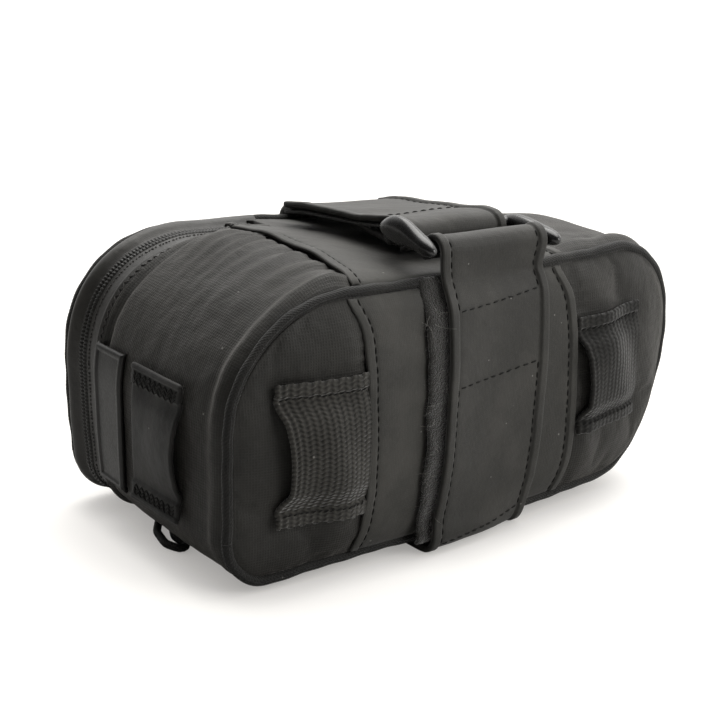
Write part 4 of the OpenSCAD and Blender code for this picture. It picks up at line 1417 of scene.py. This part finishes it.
KNOT_X, KNOT_Y = -54.5, 26.6


def cord_strands(length, angle):
    return 1 + 0.05 * np.cos(2 * math.pi * length / 1.2 + 3 * angle)


def build_cord():
    """A doubled cord from the pull tab's hole to its free loop under the rear."""
    flat = even(CORD_OUT + CORD_BACK, 200, 12)
    path = np.column_stack([flat, 1.2 + 0.08 * np.sin(np.linspace(0, 14, len(flat)))])
    heap = Heap().add(*tube(path, 1.1, 14, False, cord_strands))
    a = np.linspace(0, 6.0, 40)
    hole_z = JOINTS["cord_swing"]["pos_m"][2] / MM
    knot = np.column_stack([KNOT_X + 1.7 * np.cos(a), KNOT_Y + 1.6 * np.sin(2 * a),
                            hole_z + 0.5 * np.sin(2 * a)])
    heap.add(*tube(knot, 1.0, 12))
    heap.build("cord_braid", CORD, "cord", "cord", "pull_cord")


threads = Heap()
build_gusset()
build_panels()
build_piping()
build_inside()
build_zip_tapes()
build_coils()
build_zip_threads()
build_zip_metal()
build_band(threads)
build_strap(threads)
build_side_pile()
build_run_pad()
build_tail_pad()
build_ring()
build_loops(threads)
build_light_loop(threads)
build_tag()
build_cord()
threads.build("stitching", THREAD, "bag", "strap")


# ---------- floor, light and camera, in metres ----------
FLOOR_HALF = 6.0
SHADOW_REACH = 0.012
LIGHT_COLOUR = (1.0, 0.99, 0.965)
BRIGHT_WAY, WORLD_DIM, WORLD_BRIGHT = (0.75, 0.55, 0.40), 0.04, 1.3
CAMERA_TURN, CAMERA_TIP, CAMERA_ROLL = (math.radians(a) for a in (35.10, 18.00, 0.29))
CAMERA_FAR, CAMERA_ASIDE, CAMERA_ABOVE = 0.6634, 0.01215, 0.00256
CAMERA_TARGET = np.array([0.003, 0, 0.040])
SENSOR_WIDTH, LENS = 36.0, 117.968


def floor_material():
    """A pale board, lifted towards white by a glow where the camera sees it directly; ambient
    occlusion dims that glow into a painted contact shadow beside the bag.
    """
    g = Graph("floor")
    tone = g.noise(0.02, 2.0)
    board = g.surface(color=g.mix(tone, (0.54, 0.535, 0.525, 1), (0.58, 0.575, 0.565, 1)),
                      rough=0.8, spec=0.1)
    direct = g.node("LightPath").outputs["Is Camera Ray"]
    # painted contact shadow: ambient occlusion dims the camera-only glow where the bag is close
    painted_shadow_ao = g.node("AmbientOcclusion", {"Distance": SHADOW_REACH}, samples=8).outputs["AO"]
    lift = g.plus(g.times(painted_shadow_ao, 0.36), 0.29)
    glow = g.node("Emission", {0: (1.0, 0.975, 0.945, 1), 1: g.times(direct, lift)})
    base = g.out.inputs[0].links[0].from_socket
    g.put(g.out.inputs[0], g.node("AddShader", {0: base, 1: glow.outputs[0]}).outputs[0])
    return board


def build_stage():
    mesh = bpy.data.meshes.new("floor")
    corners = [(x * FLOOR_HALF, y * FLOOR_HALF, 0) for x, y in ((-1, -1), (1, -1), (1, 1), (-1, 1))]
    mesh.from_pydata(corners, [], [(0, 1, 2, 3)])
    floor = bpy.data.objects.new("floor", mesh)
    floor.data.materials.append(floor_material())
    bpy.context.scene.collection.objects.link(floor)


def area_light(name, place, target, size, power):
    data = bpy.data.lights.new(name, "AREA")
    data.shape = "RECTANGLE"
    data.size, data.size_y = size
    data.energy = power
    data.color = LIGHT_COLOUR
    light = bpy.data.objects.new(name, data)
    light.location = place
    light.rotation_euler = (Vector(target) - Vector(place)).to_track_quat("-Z", "Y").to_euler()
    bpy.context.scene.collection.objects.link(light)


def studio_world():
    """White as seen; as light, bright behind and above the bag and dim elsewhere."""
    g = Graph("studio", "World")
    toward = {0: g.node("TexCoord").outputs["Generated"], 1: Vector(BRIGHT_WAY).normalized()}
    dot = g.node("VectorMath", toward, operation="DOT_PRODUCT").outputs["Value"]
    bright = g.ramp(dot, 0.0, 0.8, WORLD_DIM, WORLD_BRIGHT)
    lit = g.node("Background", {0: (1.0, 0.99, 0.975, 1), 1: bright}).outputs[0]
    seen = g.node("Background", {0: (1, 1, 1, 1)}).outputs[0]
    direct = g.node("LightPath").outputs["Is Camera Ray"]
    g.put(g.out.inputs[0], g.node("MixShader", {0: direct, 1: lit, 2: seen}).outputs[0])
    bpy.context.scene.world = g.block


def build_lights():
    area_light("overhead", (0.45, 0.40, 1.4), (0.05, 0.0, 0.0), (1.4, 1.4), 23)
    area_light("near_fill", (0.75, -1.35, 0.75), (0, 0, 0.04), (1.0, 0.8), 12.5)
    studio_world()
    bpy.context.scene.view_settings.view_transform = "Standard"


def build_camera():
    """Seen from the rear near corner, a little above."""
    right = np.array([math.cos(CAMERA_TURN), -math.sin(CAMERA_TURN), 0])
    level = np.array([math.sin(CAMERA_TURN), math.cos(CAMERA_TURN), 0])
    ahead = level * math.cos(CAMERA_TIP) - np.array([0, 0, 1]) * math.sin(CAMERA_TIP)
    up = level * math.sin(CAMERA_TIP) + np.array([0, 0, 1]) * math.cos(CAMERA_TIP)
    place = CAMERA_TARGET - ahead * CAMERA_FAR - right * CAMERA_ASIDE - up * CAMERA_ABOVE
    x = right * math.cos(CAMERA_ROLL) + up * math.sin(CAMERA_ROLL)
    y = up * math.cos(CAMERA_ROLL) - right * math.sin(CAMERA_ROLL)
    data = bpy.data.cameras.new("camera")
    data.sensor_width, data.lens = SENSOR_WIDTH, LENS
    camera = bpy.data.objects.new("camera", data)
    matrix = np.vstack([np.column_stack([x, y, -ahead, place]), [0, 0, 0, 1]])
    camera.matrix_world = Matrix(matrix.tolist())
    bpy.context.scene.collection.objects.link(camera)
    bpy.context.scene.camera = camera


build_stage()
build_lights()
build_camera()

bpy.context.view_layer.update()
